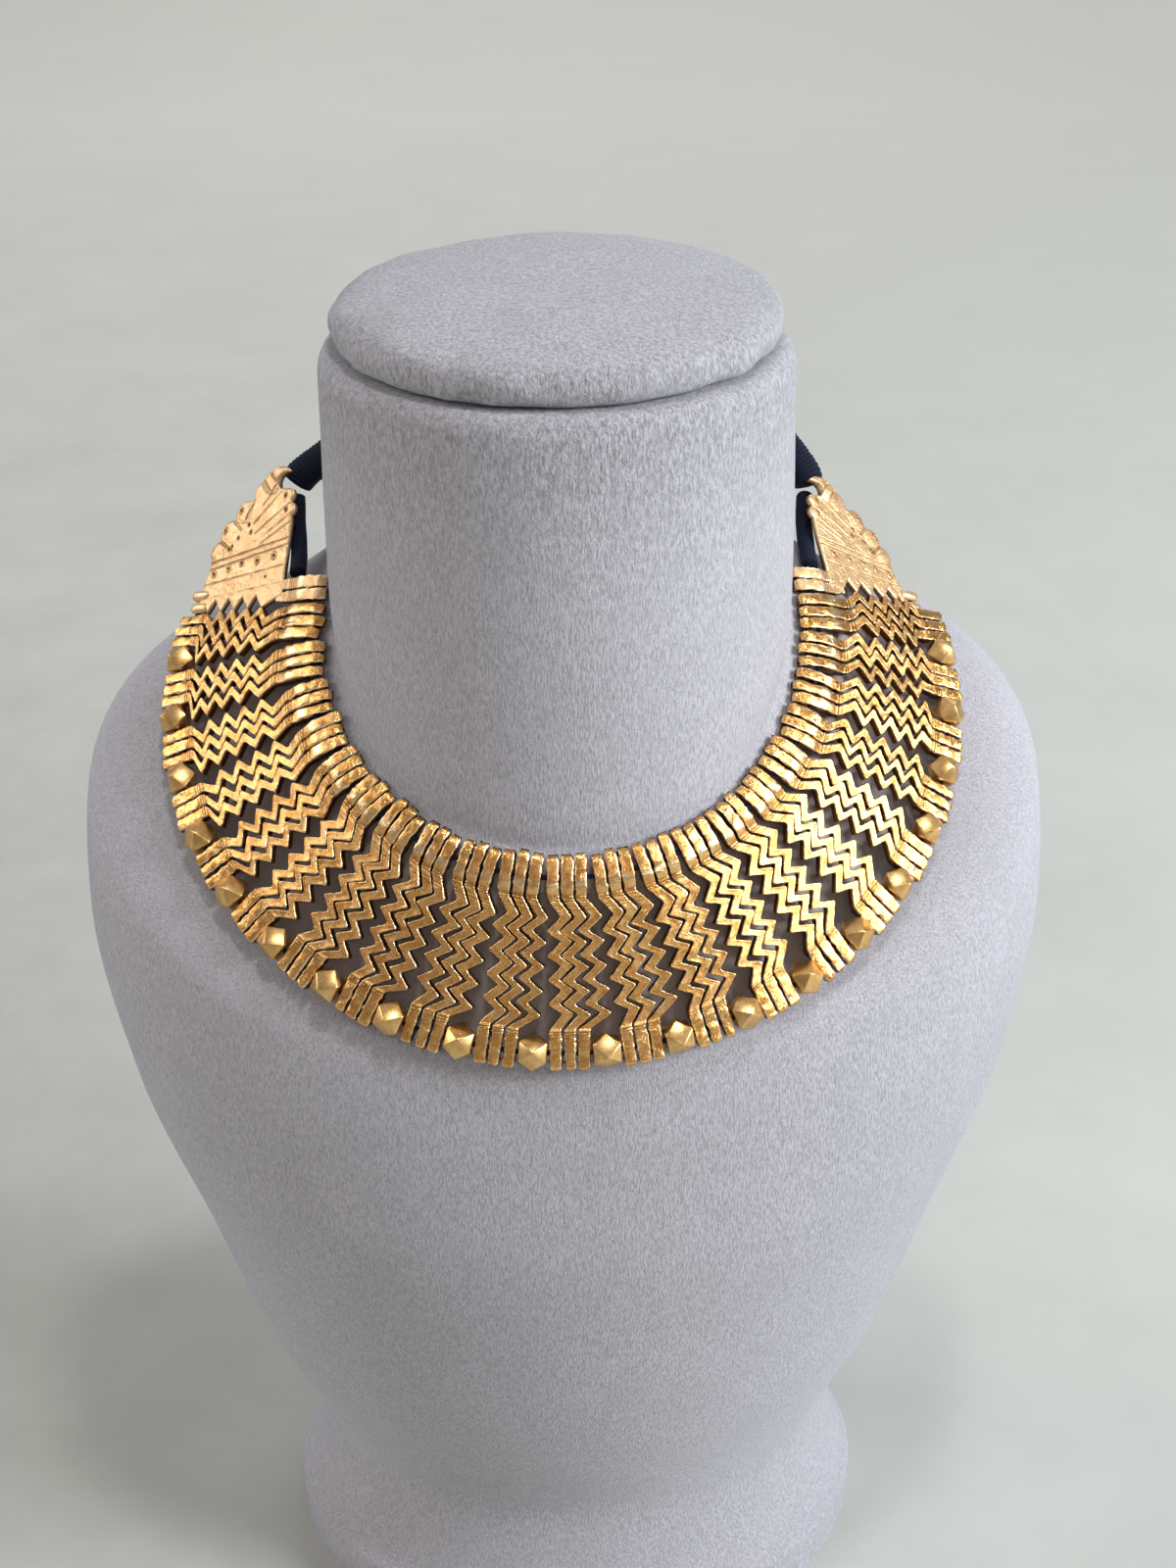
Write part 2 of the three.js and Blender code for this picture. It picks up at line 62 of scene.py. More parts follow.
GROUPS = 21
STRIPS_PER_GROUP = 3
STRIPS = GROUPS * STRIPS_PER_GROUP
MIDDLE_GROUP = (GROUPS - 1) / 2
# Distances along the threads, between strips and between groups.
HEAD_PITCH = 3.22
HEAD_GROUP_PITCH = STRIPS_PER_GROUP * HEAD_PITCH + 0.93
FOOT_PITCH = 3.26
FOOT_GROUP_PITCH = STRIPS_PER_GROUP * FOOT_PITCH + 7.33
TIGHTER = 0.26  # how much less the last one is at +X
# Distances along a strip, from its head.
INNER_HOLE = 5
HEAD_END = 10.4
FOOT_START = 40.4
OUTER_HOLE = 46
STRIP_LENGTH = 50
# A zigzag's tips lie pitch apart, and swing to the side of its centre line. A tip on the other side
# follows each of them but the last, after rise.
ZIGZAG = {"first": 14.1, "pitch": 5.65, "rise": 3.3, "tips": 5, "centre": 1.2, "swing": 1.76}
HALF_LIMB = 1.34
FAN = 0.9  # how far the zigzags of a front group spread from strip to strip
# Toward the collar's ends the heads are longer and the zigzags shorter, slimmer and farther apart.
# longer is how far the zigzag's start is pushed toward the foot, fan is the spread from strip to
# strip, hold is which of the strips, counted from 0, stays straight, and step is how much farther
# toward the foot each zigzag lies than the one before.
END_GROUPS = table(
    "group longer fan hold step",
    (1, 3.8, 1.5, 0, 0.6), (2, 3.8, 1.4, 0, 0.6), (3, 1.8, 1, 0, 0.5), (4, 0.9, 1.05, 0, 0.4),
    (5, 0.4, 0.9, 0, 0.2), (17, 0.7, 0.9, 0, 0), (18, 1.5, 0.9, 0.4, 0.2), (19, 2.6, 1.05, 0.5, 0.5),
    (20, 3, 1.25, 1.4, 0.65), (21, 6.2, 1.35, 2, 0.7),
)
SLIM_LIMB = 0.12  # the most that a limb is slimmer there, as a part of its width
CORNER_REACH = 0.42  # how far along the strip each corner of a zigzag is rounded
THREAD_SWEEP = 2.4  # radians from the front to each end of the two threads' curves

INNER_THREAD = {
    "wide": 60.8, "pinch": -1.4, "mid_y": -1.1, "deep": 60.1, "bend_y": -0.15,
    "mid_z": 287.6, "dip": 48.3, "bend_z": 7.1,
}
OUTER_THREAD = {
    "wide": 94.9, "pinch": -0.9, "skew": -0.4, "mid_y": 8.2, "deep": 85.8, "bend_y": 1.8,
    "mid_z": 260.2, "dip": 53.8, "bend_z": 1.6,
}
PLATE_THICKNESS = 1.4
PLATE_PIVOT = 13
RIGHT_TEETH = {"first": 17.1, "pitch": 5.3, "count": 5}
LEFT_TEETH = {"first": 19.1, "pitch": 4.9, "count": 5}
RIGHT_PLATE = {"slide": -0.9, "stretch": 0.95, "lift": 3, "turn": 5}
LEFT_PLATE = {"slide": 2, "stretch": 1.02, "lift": 12, "turn": 0}

# A wound cord's turns lie pitch apart and depth deep, in starts screws side by side. It has a number
# of sides, and it is rounded off over taper at both ends.
SIDE_CORD, BACK_CORD, STRUNG_THREAD = table(
    "diameter pitch depth sides taper starts",
    (4.2, 0.8, 0.16, 24, 0.3, 2), (8.4, 0.95, 0.24, 40, 1.1, 1), (1.3, 1.0, 0.12, 10, 0.3, 2),
)
RIGHT_CORD_ROUTE = [
    (61.3, 11.8, 289.6), (61.2, 17, 290.4), (61.2, 22.4, 291.7), (61.3, 28, 293.3),
    (61.7, 33.2, 295.3), (62.4, 37.9, 297.5),
]
LEFT_CORD_ROUTE = [
    (-64.4, 13.3, 289.5), (-64.4, 19, 291.2), (-64.8, 24, 292.7), (-65.2, 28.2, 294.8),
    (-65.5, 32.2, 297.5), (-65.7, 36.1, 300.5),
]
BACK_CORD_ROUTE = [
    (63.3, 40, 298.9), (62.5, 41.2, 301.9), (60.6, 42.3, 304.7), (58.3, 43.6, 307.7),
    (55.4, 45.4, 310.9), (50.6, 48.9, 313.8), (44, 52.8, 316.4), (35, 56.6, 318.4),
    (23.5, 60, 319.6), (11.5, 61.8, 320), (0, 62.2, 320), (-11.5, 61.8, 319.8),
    (-23.5, 59.8, 318.8), (-35.5, 55.8, 316.8), (-44, 51.4, 314.8), (-50.4, 46.6, 312.7),
    (-55.2, 43.1, 310.8), (-58.7, 41.3, 308.8), (-61.2, 40.4, 307.3), (-63.2, 39.7, 306),
    (-65, 39.1, 304.4), (-66.3, 38.5, 302.8),
]
SLIDE_PLACE = (0, 62.2, 320.0)
SLIDE = {"inner": 4.6, "outer": 5.8, "length": 10}

# ---- small helpers


def mm(points):
    """Millimetres to metres."""
    return np.asarray(points, float) * MILLIMETRE


def smooth_through(knots, values, at):
    """A smooth curve through (knots, values) that never overshoots them, read at some places."""
    x, y, at = (np.asarray(a, float) for a in (knots, values, at))
    step = np.diff(x)
    slope = np.diff(y) / step
    lean = np.zeros(len(x))
    rising = np.flatnonzero(slope[:-1] * slope[1:] > 0)
    before, after = (2 * step[1:] + step[:-1])[rising], (step[1:] + 2 * step[:-1])[rising]
    lean[rising + 1] = (before + after) / (before / slope[rising] + after / slope[rising + 1])
    return cubic(x, y, lean, at)


def cubic(x, y, lean, at):
    """The curve through (x, y) that has a given lean at each of them, read at some places."""
    i = np.clip(np.searchsorted(x, at) - 1, 0, len(x) - 2)
    step = np.diff(x)[i]
    t = np.clip((at - x[i]) / step, 0, 1)
    if y.ndim > 1:
        step, t = step[:, None], t[:, None]
    return (
        (2 * t**3 - 3 * t**2 + 1) * y[i]
        + (t**3 - 2 * t**2 + t) * step * lean[i]
        + (3 * t**2 - 2 * t**3) * y[i + 1]
        + (t**3 - t**2) * step * lean[i + 1]
    )


def waves(points, wavelength, seed, count=9):
    """Smooth noise between about -1 and 1, made of waves in seeded directions."""
    rng = np.random.default_rng(seed)
    directions = rng.normal(size=(count, 3))
    directions /= norms(directions)[:, None]
    lengths = wavelength * rng.uniform(0.6, 1.6, count)
    phases = rng.uniform(0, 2 * math.pi, count)
    turns = points @ (directions * (2 * math.pi / lengths)[:, None]).T + phases
    return np.sin(turns).sum(1) / math.sqrt(count * 1.2)


def clamp(values):
    """Values kept between 0 and 1."""
    return np.clip(values, 0, 1)


def bell(away, width):
    """1 where away is 0, falling to a third at a distance of width."""
    return np.exp(-((away / width) ** 2))


def turned(first, second, angle):
    """Coordinates along two axes, turned from the first axis toward the second."""
    return (
        first * math.cos(angle) - second * math.sin(angle),
        first * math.sin(angle) + second * math.cos(angle),
    )


def norms(vectors):
    return np.linalg.norm(vectors, axis=-1)


def unit(vector):
    """A vector of length 1 with the same direction."""
    return vector / np.linalg.norm(vector)


def around(sides):
    """Angles of points spaced evenly round a ring."""
    return np.arange(sides) * 2 * math.pi / sides


def rounded_off(reach):
    """A quarter circle's height: 0 at an end, 1 from a reach of 1 on."""
    return np.sqrt(clamp(1 - (1 - clamp(reach)) ** 2))


def all_points(x, y, z):
    """Points whose three coordinates are arrays that fit together."""
    return np.stack(np.broadcast_arrays(x, y, z), -1).reshape(-1, 3)


def lengths_along(points):
    """The length of a line of points up to each of them."""
    return np.concatenate([[0], np.cumsum(norms(np.diff(points, axis=0)))])


def read_line(points, lengths, at):
    """Places on a line of points, at some lengths along it."""
    return np.stack([np.interp(at, lengths, points[:, axis]) for axis in range(3)], -1)


def loft_faces(rings, sides, closed=True):
    """Quads between rings of points, and a fan over each end."""
    r, s = np.meshgrid(np.arange(rings - 1), np.arange(sides), indexing="ij")
    near, far = r * sides, (r + 1) * sides
    after = (s + 1) % sides
    quads = np.stack([near + s, near + after, far + after, far + s], -1).reshape(-1, 4).tolist()
    if closed:
        quads.append(list(range(sides))[::-1])
        quads.append([(rings - 1) * sides + i for i in range(sides)])
    return quads


def joined(bodies):
    """Bodies, each with its points, faces, how worn it is, partly as a painted highlight, and its painted
    shade, as one.
    """
    faces, total = [], 0
    for points, own_faces, _, _ in bodies:
        faces += [[i + total for i in face] for face in own_faces]
        total += len(points)
    points, _, worn, sheltered = zip(*bodies)
    values = {"worn": np.concatenate(worn), "sheltered": np.concatenate(sheltered)}
    return np.concatenate(points), faces, values


def new_object(name, data):
    made = bpy.data.objects.new(name, data)
    bpy.context.scene.collection.objects.link(made)
    return made


def show(name, mesh, material, stands_for, sharp):
    """A mesh shown as a smooth piece in the collar's body, which may stand for a CAD node."""
    mesh.shade_smooth()
    if sharp is not None:
        mesh.set_sharp_from_angle(angle=math.radians(sharp))
    mesh.materials.append(material)
    piece = new_object(name, mesh)
    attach(piece, "root")
    if stands_for is not None:
        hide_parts(stands_for)
    return piece


def new_piece(name, points, faces, material, stands_for, values=None, sharp=None):
    """A shown piece made of points and faces. values holds numbers for each point, by name."""
    mesh = bpy.data.meshes.new(name)
    mesh.from_pydata(mm(points).tolist(), [], faces)
    for label, numbers in (values or {}).items():
        attribute = mesh.attributes.new(label, "FLOAT", "POINT")
        attribute.data.foreach_set("value", np.asarray(numbers, np.float32))
    return show(name, mesh, material, stands_for, sharp)


# ---- the camera

CAMERA = {
    "x": -2.54, "y": -517.59, "z": 525.87, "down": 29.23, "turn": 0.94, "roll": -0.68, "lens": 54.09,
}


def make_camera():
    down, turn, roll = (math.radians(CAMERA[key]) for key in ("down", "turn", "roll"))
    ahead = Vector((math.sin(turn) * math.cos(down), math.cos(turn) * math.cos(down), -math.sin(down)))
    level = Vector((math.cos(turn), -math.sin(turn), 0))
    upright = level.cross(ahead)
    right = level * math.cos(roll) + upright * math.sin(roll)
    up = right.cross(ahead)
    data = bpy.data.cameras.new("camera")
    data.lens = CAMERA["lens"]
    data.sensor_width = 36
    camera = new_object("camera", data)
    pose = Matrix((right, up, -ahead)).transposed().to_4x4()
    pose.translation = Vector(mm([CAMERA["x"], CAMERA["y"], CAMERA["z"]]))
    camera.matrix_world = pose
    bpy.context.scene.camera = camera


make_camera()

# ---- materials


def set_inputs(tree, node, **inputs):
    """A node's inputs by name: a number or colour set on the socket, or another node's output."""
    for key, value in inputs.items():
        feed(tree, node.inputs[key.replace("_", " ")], value)


def feed(tree, socket, value):
    if isinstance(value, bpy.types.NodeSocket):
        tree.links.new(value, socket)
    else:
        socket.default_value = value


def add_node(tree, kind, **inputs):
    made = tree.nodes.new(kind)
    set_inputs(tree, made, **inputs)
    return made


def painted(tree, name):
    """A number that a piece's mesh has at each of its points."""
    made = tree.nodes.new("ShaderNodeAttribute")
    made.attribute_name = name
    return made.outputs["Fac"]


def rescaled(tree, value, start, end, low, high):
    """low where value is start, high where it is end, and in proportion between them."""
    return add_node(
        tree, "ShaderNodeMapRange", Value=value, From_Min=start, From_Max=end, To_Min=low, To_Max=high,
    ).outputs["Result"]


def new_material(name):
    """A material's tree, its Principled shader and the object's own coordinates."""
    material = bpy.data.materials.new(name)
    material.use_nodes = True
    tree = material.node_tree
    tree.nodes.clear()
    shader = tree.nodes.new("ShaderNodeBsdfPrincipled")
    output = tree.nodes.new("ShaderNodeOutputMaterial")
    tree.links.new(shader.outputs["BSDF"], output.inputs["Surface"])
    place = tree.nodes.new("ShaderNodeTexCoord").outputs["Object"]
    return material, tree, shader, place


def ramp(tree, value, stops):
    """A colour ramp with (position, colour) stops, or (position, grey)."""
    made = tree.nodes.new("ShaderNodeValToRGB")
    tree.links.new(value, made.inputs["Fac"])
    while len(made.color_ramp.elements) < len(stops):
        made.color_ramp.elements.new(0.5)
    for element, (position, colour) in zip(made.color_ramp.elements, stops):
        element.position = position
        element.color = (*colour, 1) if isinstance(colour, tuple) else (colour, colour, colour, 1)
    return made.outputs["Color"]


def mix(tree, factor, first, second):
    """Two colours mixed."""
    made = tree.nodes.new("ShaderNodeMix")
    made.data_type = "RGBA"
    for number, value in ((0, factor), (6, first), (7, second)):
        feed(tree, made.inputs[number], (*value, 1) if isinstance(value, tuple) else value)
    return made.outputs[2]


def bump(tree, height, strength, depth, under=None):
    """A bump whose height of 1 stands for depth millimetres."""
    made = add_node(tree, "ShaderNodeBump", Height=height, Strength=strength, Distance=depth * MILLIMETRE)
    if under is not None:
        tree.links.new(under, made.inputs["Normal"])
    return made.outputs["Normal"]


def noise(tree, place, size, detail=3.0, roughness=0.55, stretch=None):
    """Noise whose blobs are about size millimetres across, drawn out by stretch along x, y and z."""
    if stretch is not None:
        place = add_node(tree, "ShaderNodeMapping", Vector=place, Scale=stretch).outputs["Vector"]
    made = add_node(
        tree, "ShaderNodeTexNoise", Vector=place, Scale=1 / (size * MILLIMETRE), Detail=detail,
        Roughness=roughness,
    )
    return made.outputs["Fac"]


def gold_material(name, bright, deep, roughness, grain, pits):
    """Cast gold plate: grainy and pitted, dark with painted shade on its walls, underside and engraved
    hollows, and smooth and pale where worn, which partly paints highlights.
    """
    material, tree, shader, place = new_material(name)
    worn, sheltered, lumpy = (painted(tree, key) for key in ("worn", "sheltered", "lumpy"))
    blotches = noise(tree, place, 2.6, 4.0)
    fine = noise(tree, place, 0.42, 5.0, 0.75)
    cells = add_node(
        tree, "ShaderNodeTexVoronoi", Vector=place, Scale=1 / (0.55 * MILLIMETRE), Randomness=1.0,
    ).outputs["Distance"]
    pit_patches = ramp(tree, noise(tree, place, 3.4, 2.0), [(0.45, 0.0), (0.62, 1.0)])
    pit_depth = ramp(tree, cells, [(0.0, 0.0), (0.14, 0.25), (0.28, 1.0)])
    pit_here = mix(tree, pit_patches, (1.0, 1.0, 1.0), pit_depth)
    colour = mix(tree, ramp(tree, blotches, [(0.38, 0.0), (0.66, 1.0)]), bright, deep)
    colour = mix(tree, ramp(tree, fine, [(0.36, 0.7), (0.5, 0.0)]), colour, tuple(0.42 * c for c in deep))
    colour = mix(tree, ramp(tree, pit_here, [(0.0, pits), (0.8, 0.0)]), colour, PIT_COLOUR)
    # Painted shade on the walls, the underside and in the grooves and engraving.
    colour = mix(tree, ramp(tree, sheltered, [(0.0, 0.0), (0.5, 0.85), (1.0, 1.0)]), colour, PAINTED_SHADE_COLOUR)
    rough = rescaled(tree, fine, 0.3, 0.7, roughness - 0.06, roughness + 0.14)
    for factor in (rescaled(tree, worn, 0.0, 1.0, 1.0, 0.5), rescaled(tree, lumpy, 0.0, 1.0, 1.0, 0.62)):
        product = tree.nodes.new("ShaderNodeMath")
        product.operation = "MULTIPLY"
        tree.links.new(rough, product.inputs[0])
        tree.links.new(factor, product.inputs[1])
        rough = product.outputs["Value"]
    normal = bump(tree, pit_here, pits * 0.7, 0.07, bump(tree, fine, grain, 0.13))
    crumple = rescaled(tree, lumpy, 0.0, 1.0, 0.4, 0.56)
    # Worn places are paler, partly as wear and partly as a painted highlight.
    set_inputs(
        tree, shader, Base_Color=mix(tree, worn, colour, WEAR_AND_HIGHLIGHT_COLOUR), Roughness=rough, Metallic=1.0,
        Normal=bump(tree, noise(tree, place, 2.3, 3.0, 0.5), crumple, 0.5, normal),
    )
    return material


def bead_material():
    """Satin gold plate with fine brushed lines."""
    material, tree, shader, place = new_material("bead_satin_gold")
    lines = noise(tree, place, 0.9, 3.0, 0.6, stretch=(1.0, 6.0, 9.0))
    cloud = noise(tree, place, 2.4, 3.0)
    clouded = ramp(tree, cloud, [(0.35, 0.0), (0.7, 1.0)])
    set_inputs(
        tree, shader, Base_Color=mix(tree, clouded, (0.88, 0.57, 0.24), (0.68, 0.39, 0.13)), Metallic=1.0,
        Roughness=rescaled(tree, lines, 0.3, 0.7, 0.24, 0.38),
        Normal=bump(tree, cloud, 0.25, 0.15, bump(tree, lines, 0.35, 0.05)),
    )
    return material


def thread_material():
    """Matt navy thread, a little worn on the turns, with painted shade in the valleys between them."""
    material, tree, shader, place = new_material("navy_thread")
    strands = noise(tree, place, 0.35, 4.0, 0.6)
    worn = ramp(tree, strands, [(0.3, 0.0), (0.75, 1.0)])
    colour = mix(tree, worn, (0.0035, 0.0045, 0.012), (0.012, 0.017, 0.042))
    # Painted shade in the valleys between the turns.
    between = ramp(tree, painted(tree, "valley"), [(0.35, 0.0), (0.9, 0.85)])
    set_inputs(
        tree, shader, Base_Color=mix(tree, between, colour, (0.001, 0.001, 0.003)), Roughness=0.85,
        Specular_IOR_Level=0.2, Sheen_Weight=0.08, Sheen_Roughness=0.5, Sheen_Tint=(0.35, 0.42, 0.75, 1),
        Normal=bump(tree, strands, 0.6, 0.12),
    )
    return material


def flock_material():
    """Grey velvet: a short nap that lies downward in small uneven tufts, longer near the top, with painted
    shade in the tufts' hollows, painted highlights on their tips and fibres, and painted shade under the
    strips.
    """
    material, tree, shader, place = new_material("grey_velvet")
    height = add_node(tree, "ShaderNodeSeparateXYZ", Vector=place).outputs["Z"]
    shaggy = rescaled(tree, height, 0.31, 0.35, 0.22, 0.95)
    strokes = noise(tree, place, 0.44, 3.0, 0.6, stretch=(1.0, 1.0, 0.26))
    tufts = noise(tree, place, 1.0, 4.0, 0.7, stretch=(1.0, 1.0, 0.5))
    fibres = noise(tree, place, 0.34, 3.0, 0.7)
    clouds = noise(tree, place, 16.0, 3.0)
    lit = ramp(tree, strokes, [(0.37, 0.0), (0.61, 1.0)])
    shade = mix(tree, lit, (0.345, 0.328, 0.355), (0.54, 0.522, 0.57))
    # Pale flecks: painted highlights on the fibres.
    shade = mix(tree, ramp(tree, fibres, [(0.52, 0.0), (0.7, 0.75)]), shade, (0.74, 0.75, 0.82))
    shade = mix(tree, ramp(tree, clouds, [(0.35, 0.0), (0.7, 0.3)]), shade, (0.40, 0.395, 0.425))
    # Painted shade in the tufts' hollows and painted highlights on their tips, stronger near the top.
    painted_hollow_shade, tips = (
        mix(tree, shaggy, (0.0, 0.0, 0.0), ramp(tree, tufts, stops))
        for stops in ([(0.36, 0.8), (0.52, 0.0)], [(0.54, 0.0), (0.7, 0.7)])
    )
    shade = mix(tree, painted_hollow_shade, shade, (0.27, 0.255, 0.27))
    shade = mix(tree, tips, shade, (0.66, 0.66, 0.72))
    normal = bump(tree, strokes, 0.8, 0.3, bump(tree, tufts, shaggy, 0.9))
    # Painted shade under the strips, tinted warm as a painted reflection of the gold.
    shade = mix(tree, painted(tree, "warm_painted_shade"), shade, (0.46, 0.36, 0.31))
    set_inputs(
        tree, shader, Base_Color=shade, Roughness=0.95, Specular_IOR_Level=0.15, Sheen_Weight=0.3,
        Sheen_Roughness=0.5, Sheen_Tint=(0.92, 0.94, 1.0, 1),
        Normal=bump(tree, fibres, 0.5, 0.15, normal),
    )
    return material


# The gold in its pits, its painted shade on walls, undersides and engraved hollows, and where it is worn, a
# paleness that is partly wear and partly a painted highlight.
PIT_COLOUR = (0.10, 0.045, 0.012)
PAINTED_SHADE_COLOUR = (0.13, 0.045, 0.008)
WEAR_AND_HIGHLIGHT_COLOUR = (1.0, 0.80, 0.50)
STRIP_GOLD = gold_material("strip_cast_gold", (0.99, 0.58, 0.22), (0.78, 0.36, 0.09), 0.27, 0.75, 0.9)
PLATE_GOLD = gold_material("plate_cast_gold", (0.88, 0.60, 0.34), (0.80, 0.49, 0.24), 0.46, 0.5, 0.3)
BEAD_GOLD = bead_material()
NAVY = thread_material()
FLOCK = flock_material()

# ---- cords


def along_route(route, spacing):
    """Evenly spaced points on a smooth curve through a route, with the length along it at each."""
    knots = np.asarray(route, float)
    chord = lengths_along(knots)
    lean = np.gradient(knots, chord, axis=0)
    fine = cubic(chord, knots, lean, np.linspace(0, chord[-1], 60 * len(knots)))
    length = lengths_along(fine)
    even = np.linspace(0, length[-1], max(3, int(round(length[-1] / spacing)) + 1))
    return read_line(fine, length, even), even


def tube_points(centres, radius):
    """Rings round a line of centres. radius has a row for each centre and a column for each side."""
    ahead = np.gradient(centres, axis=0)
    ahead /= norms(ahead)[:, None]
    across = np.cross(ahead[0], (0.0, 0.0, 1.0))
    angles = around(radius.shape[1])
    rings = np.empty((*radius.shape, 3))
    for i, direction in enumerate(ahead):
        across = unit(across - (across @ direction) * direction)
        over = np.cross(direction, across)
        ring = np.cos(angles)[:, None] * across + np.sin(angles)[:, None] * over
        rings[i] = centres[i] + radius[i][:, None] * ring
    return rings.reshape(-1, 3)


def wound_cord(name, route, cord, seed, stands_for=None):
    """A cord wound with thread: ridges that run round it as a screw, rounded off at both ends."""
    sides, diameter, pitch = cord["sides"], cord["diameter"], cord["pitch"]
    centres, length = along_route(route, pitch / 6)
    phase = 2 * math.pi * length[:, None] / pitch - cord["starts"] * around(sides)
    places = np.repeat(centres, sides, axis=0)
    wander, loose = (
        waves(places, size, seed + i).reshape(len(centres), sides) for i, size in enumerate((9.0, 2.4))
    )
    valley = 1 - np.abs(np.sin(phase / 2 + 0.35 * wander))
    radius = diameter / 2 - cord["depth"] * valley + 0.012 * diameter * wander + 0.006 * diameter * loose
    from_end = np.minimum(length, length[-1] - length)
    radius *= np.maximum(rounded_off(from_end / cord["taper"]), 0.04)[:, None]
    # valley also darkens the thread's colour there, as painted shade.
    values = {"valley": clamp(valley).reshape(-1)}
    faces = loft_faces(len(centres), sides)
    piece = new_piece(name, tube_points(centres, radius), faces, NAVY, stands_for, values)
    return piece, centres, length[-1]


def make_cords():
    """The back cord with what hangs on it: both stretches beside the plates, and the slide."""
    back, centres, length = wound_cord("back_cord_wound", BACK_CORD_ROUTE, BACK_CORD, 81, "back_cord")
    with_pieces = [
        wound_cord(f"side_cord_{side}_wound", route, SIDE_CORD, seed, f"side_cord_{side}")[0]
        for side, route, seed in (("right", RIGHT_CORD_ROUTE, 91), ("left", LEFT_CORD_ROUTE, 95))
    ] + [make_slide()]


def make_slide():
    """The whipping that holds the two halves of the back cord together: turns of thread side by side."""
    half, inner, outer = SLIDE["length"] / 2, SLIDE["inner"], SLIDE["outer"]
    sides, turns, rows = 72, 9, 109
    x = np.linspace(-half, half, rows)
    angles = around(sides)
    valley = 1 - np.abs(np.sin((2 * math.pi * (x[:, None] + half) * turns / SLIDE["length"] + angles) / 2))
    shoulder = np.maximum(rounded_off((half - np.abs(x)) / 1.1), 0.05)[:, None]
    radius = inner + (outer - inner - 0.32 * valley) * shoulder
    radius = np.concatenate([radius, np.full((2, sides), inner - 0.4)])
    reach = np.concatenate([x, [x[-1], x[0]]])
    points = all_points(reach[:, None], radius * np.cos(angles), radius * np.sin(angles)) + SLIDE_PLACE
    faces = loft_faces(rows + 2, sides, closed=False)
    last = (rows + 1) * sides
    faces += [[last + i, last + (i + 1) % sides, (i + 1) % sides, i] for i in range(sides)]
    # The valleys and the two inner rings at the whipping's ends get painted shade through the thread's
    # colour.
    values = {"valley": np.concatenate([valley.reshape(-1), np.ones(2 * sides)])}
    return new_piece("cord_slide_whipped", points, faces, NAVY, "cord_slide", values)


make_cords()

# ---- threads and the strips' places


def ring_points(ring, angles):
    """Points of a ring at angles from the front."""
    c = np.cos(angles)
    bend = np.cos(2 * angles)
    x = ring["wide"] * np.sin(angles) + ring.get("pinch", 0) * np.sin(3 * angles)
    x = x + ring.get("skew", 0) * (1 - c)
    y = ring["mid_y"] - ring["deep"] * c + ring.get("bend_y", 0) * bend
    z = ring["mid_z"] - ring["dip"] * c + ring["bend_z"] * bend
    flat_y, flat_z = ring.get("flat_y", 0), ring.get("flat_z", 0)
    if flat_y or flat_z:
        back_y = ring["mid_y"] - ring.get("bend_y", 0) + ring["deep"] * (-c - flat_y * c * c)
        back_z = ring["mid_z"] - ring["bend_z"] + ring["dip"] * (-c - flat_z * c * c)
        y = np.where(c < 0, back_y, y)
        z = np.where(c < 0, back_z, z)
    return np.stack([x, y, z], -1)


class Thread:
    """A thread measured by its length from the front."""

    def __init__(self, ring):
        self.points = ring_points(ring, np.linspace(-THREAD_SWEEP, THREAD_SWEEP, 4001))
        lengths = lengths_along(self.points)
        self.lengths = lengths - lengths[-1] / 2

    def at(self, length):
        return read_line(self.points, self.lengths, length)

    def tangent(self, length):
        return unit(self.at(length + 0.05) - self.at(length - 0.05))


inner_thread = Thread(INNER_THREAD)
outer_thread = Thread(OUTER_THREAD)


def hung_strip(group, place):
    """A strip's axes and origin where the two threads carry it."""
    head_length = group * HEAD_GROUP_PITCH + place * HEAD_PITCH
    foot_group_pitch = FOOT_GROUP_PITCH - TIGHTER if group > 0 else FOOT_GROUP_PITCH
    foot_length = group * foot_group_pitch + place * FOOT_PITCH
    head, foot = inner_thread.at(head_length), outer_thread.at(foot_length)
    u = unit(foot - head)
    tangent = inner_thread.tangent(head_length) + outer_thread.tangent(foot_length)
    v = unit(tangent - (tangent @ u) * u)
    w = np.cross(u, v)
    return head - INNER_HOLE * u, np.stack([u, v, w])


def strip_frame(k):
    """Origin and axes of strip k. A group's strips are level with its middle strip."""
    group = k // STRIPS_PER_GROUP - MIDDLE_GROUP
    place = k % STRIPS_PER_GROUP - (STRIPS_PER_GROUP - 1) / 2
    origin, axes = hung_strip(group, place)
    middle, middle_axes = hung_strip(group, 0)
    ahead = (origin - middle) @ middle_axes[0]
    return origin - ahead * axes[0], axes


def placed(local, frame_of_strip):
    """Points in a strip's (u, v, w) turned into the collar's frame."""
    origin, axes = frame_of_strip
    return origin + np.asarray(local, float) @ axes


# ---- strips

# The strip's top and underside along u. The head has a crest, and a facet that falls from it.
STRIP_TOP = table(
    "u w",
    (0, -0.55), (0.3, 0.1), (0.9, 0.68), (2, 1.16), (4, 1.5), (5.9, 1.74), (7, 1.72),
    (8.5, 1.22), (9.6, 0.92), (10.6, 0.86), (12, 0.98), (14.1, 1.04), (18, 0.92), (25, 0.88),
    (39.9, 0.92), (40.7, 1.34), (42, 1.5), (49, 1.46), (49.7, 1.16), (50, 0.75),
)
STRIP_UNDERSIDE = table(
    "u w",
    (0, -0.95), (0.4, -1.4), (1.2, -1.5), (9.6, -1.5), (10.4, -1.3), (40.2, -1.3), (41, -1.5),
    (49.4, -1.5), (50, -1.05),
)
STRIP_HALF = table(
    "u half",
    (0, 1.15), (0.8, 1.42), (2, 1.48), (7.6, 1.47), (9.6, 1.36), (11, 1.32), (14.1, 1.38),
    (36.7, 1.42), (40.2, 1.36), (41.1, 1.44), (49.2, 1.44), (50, 1.12),
)
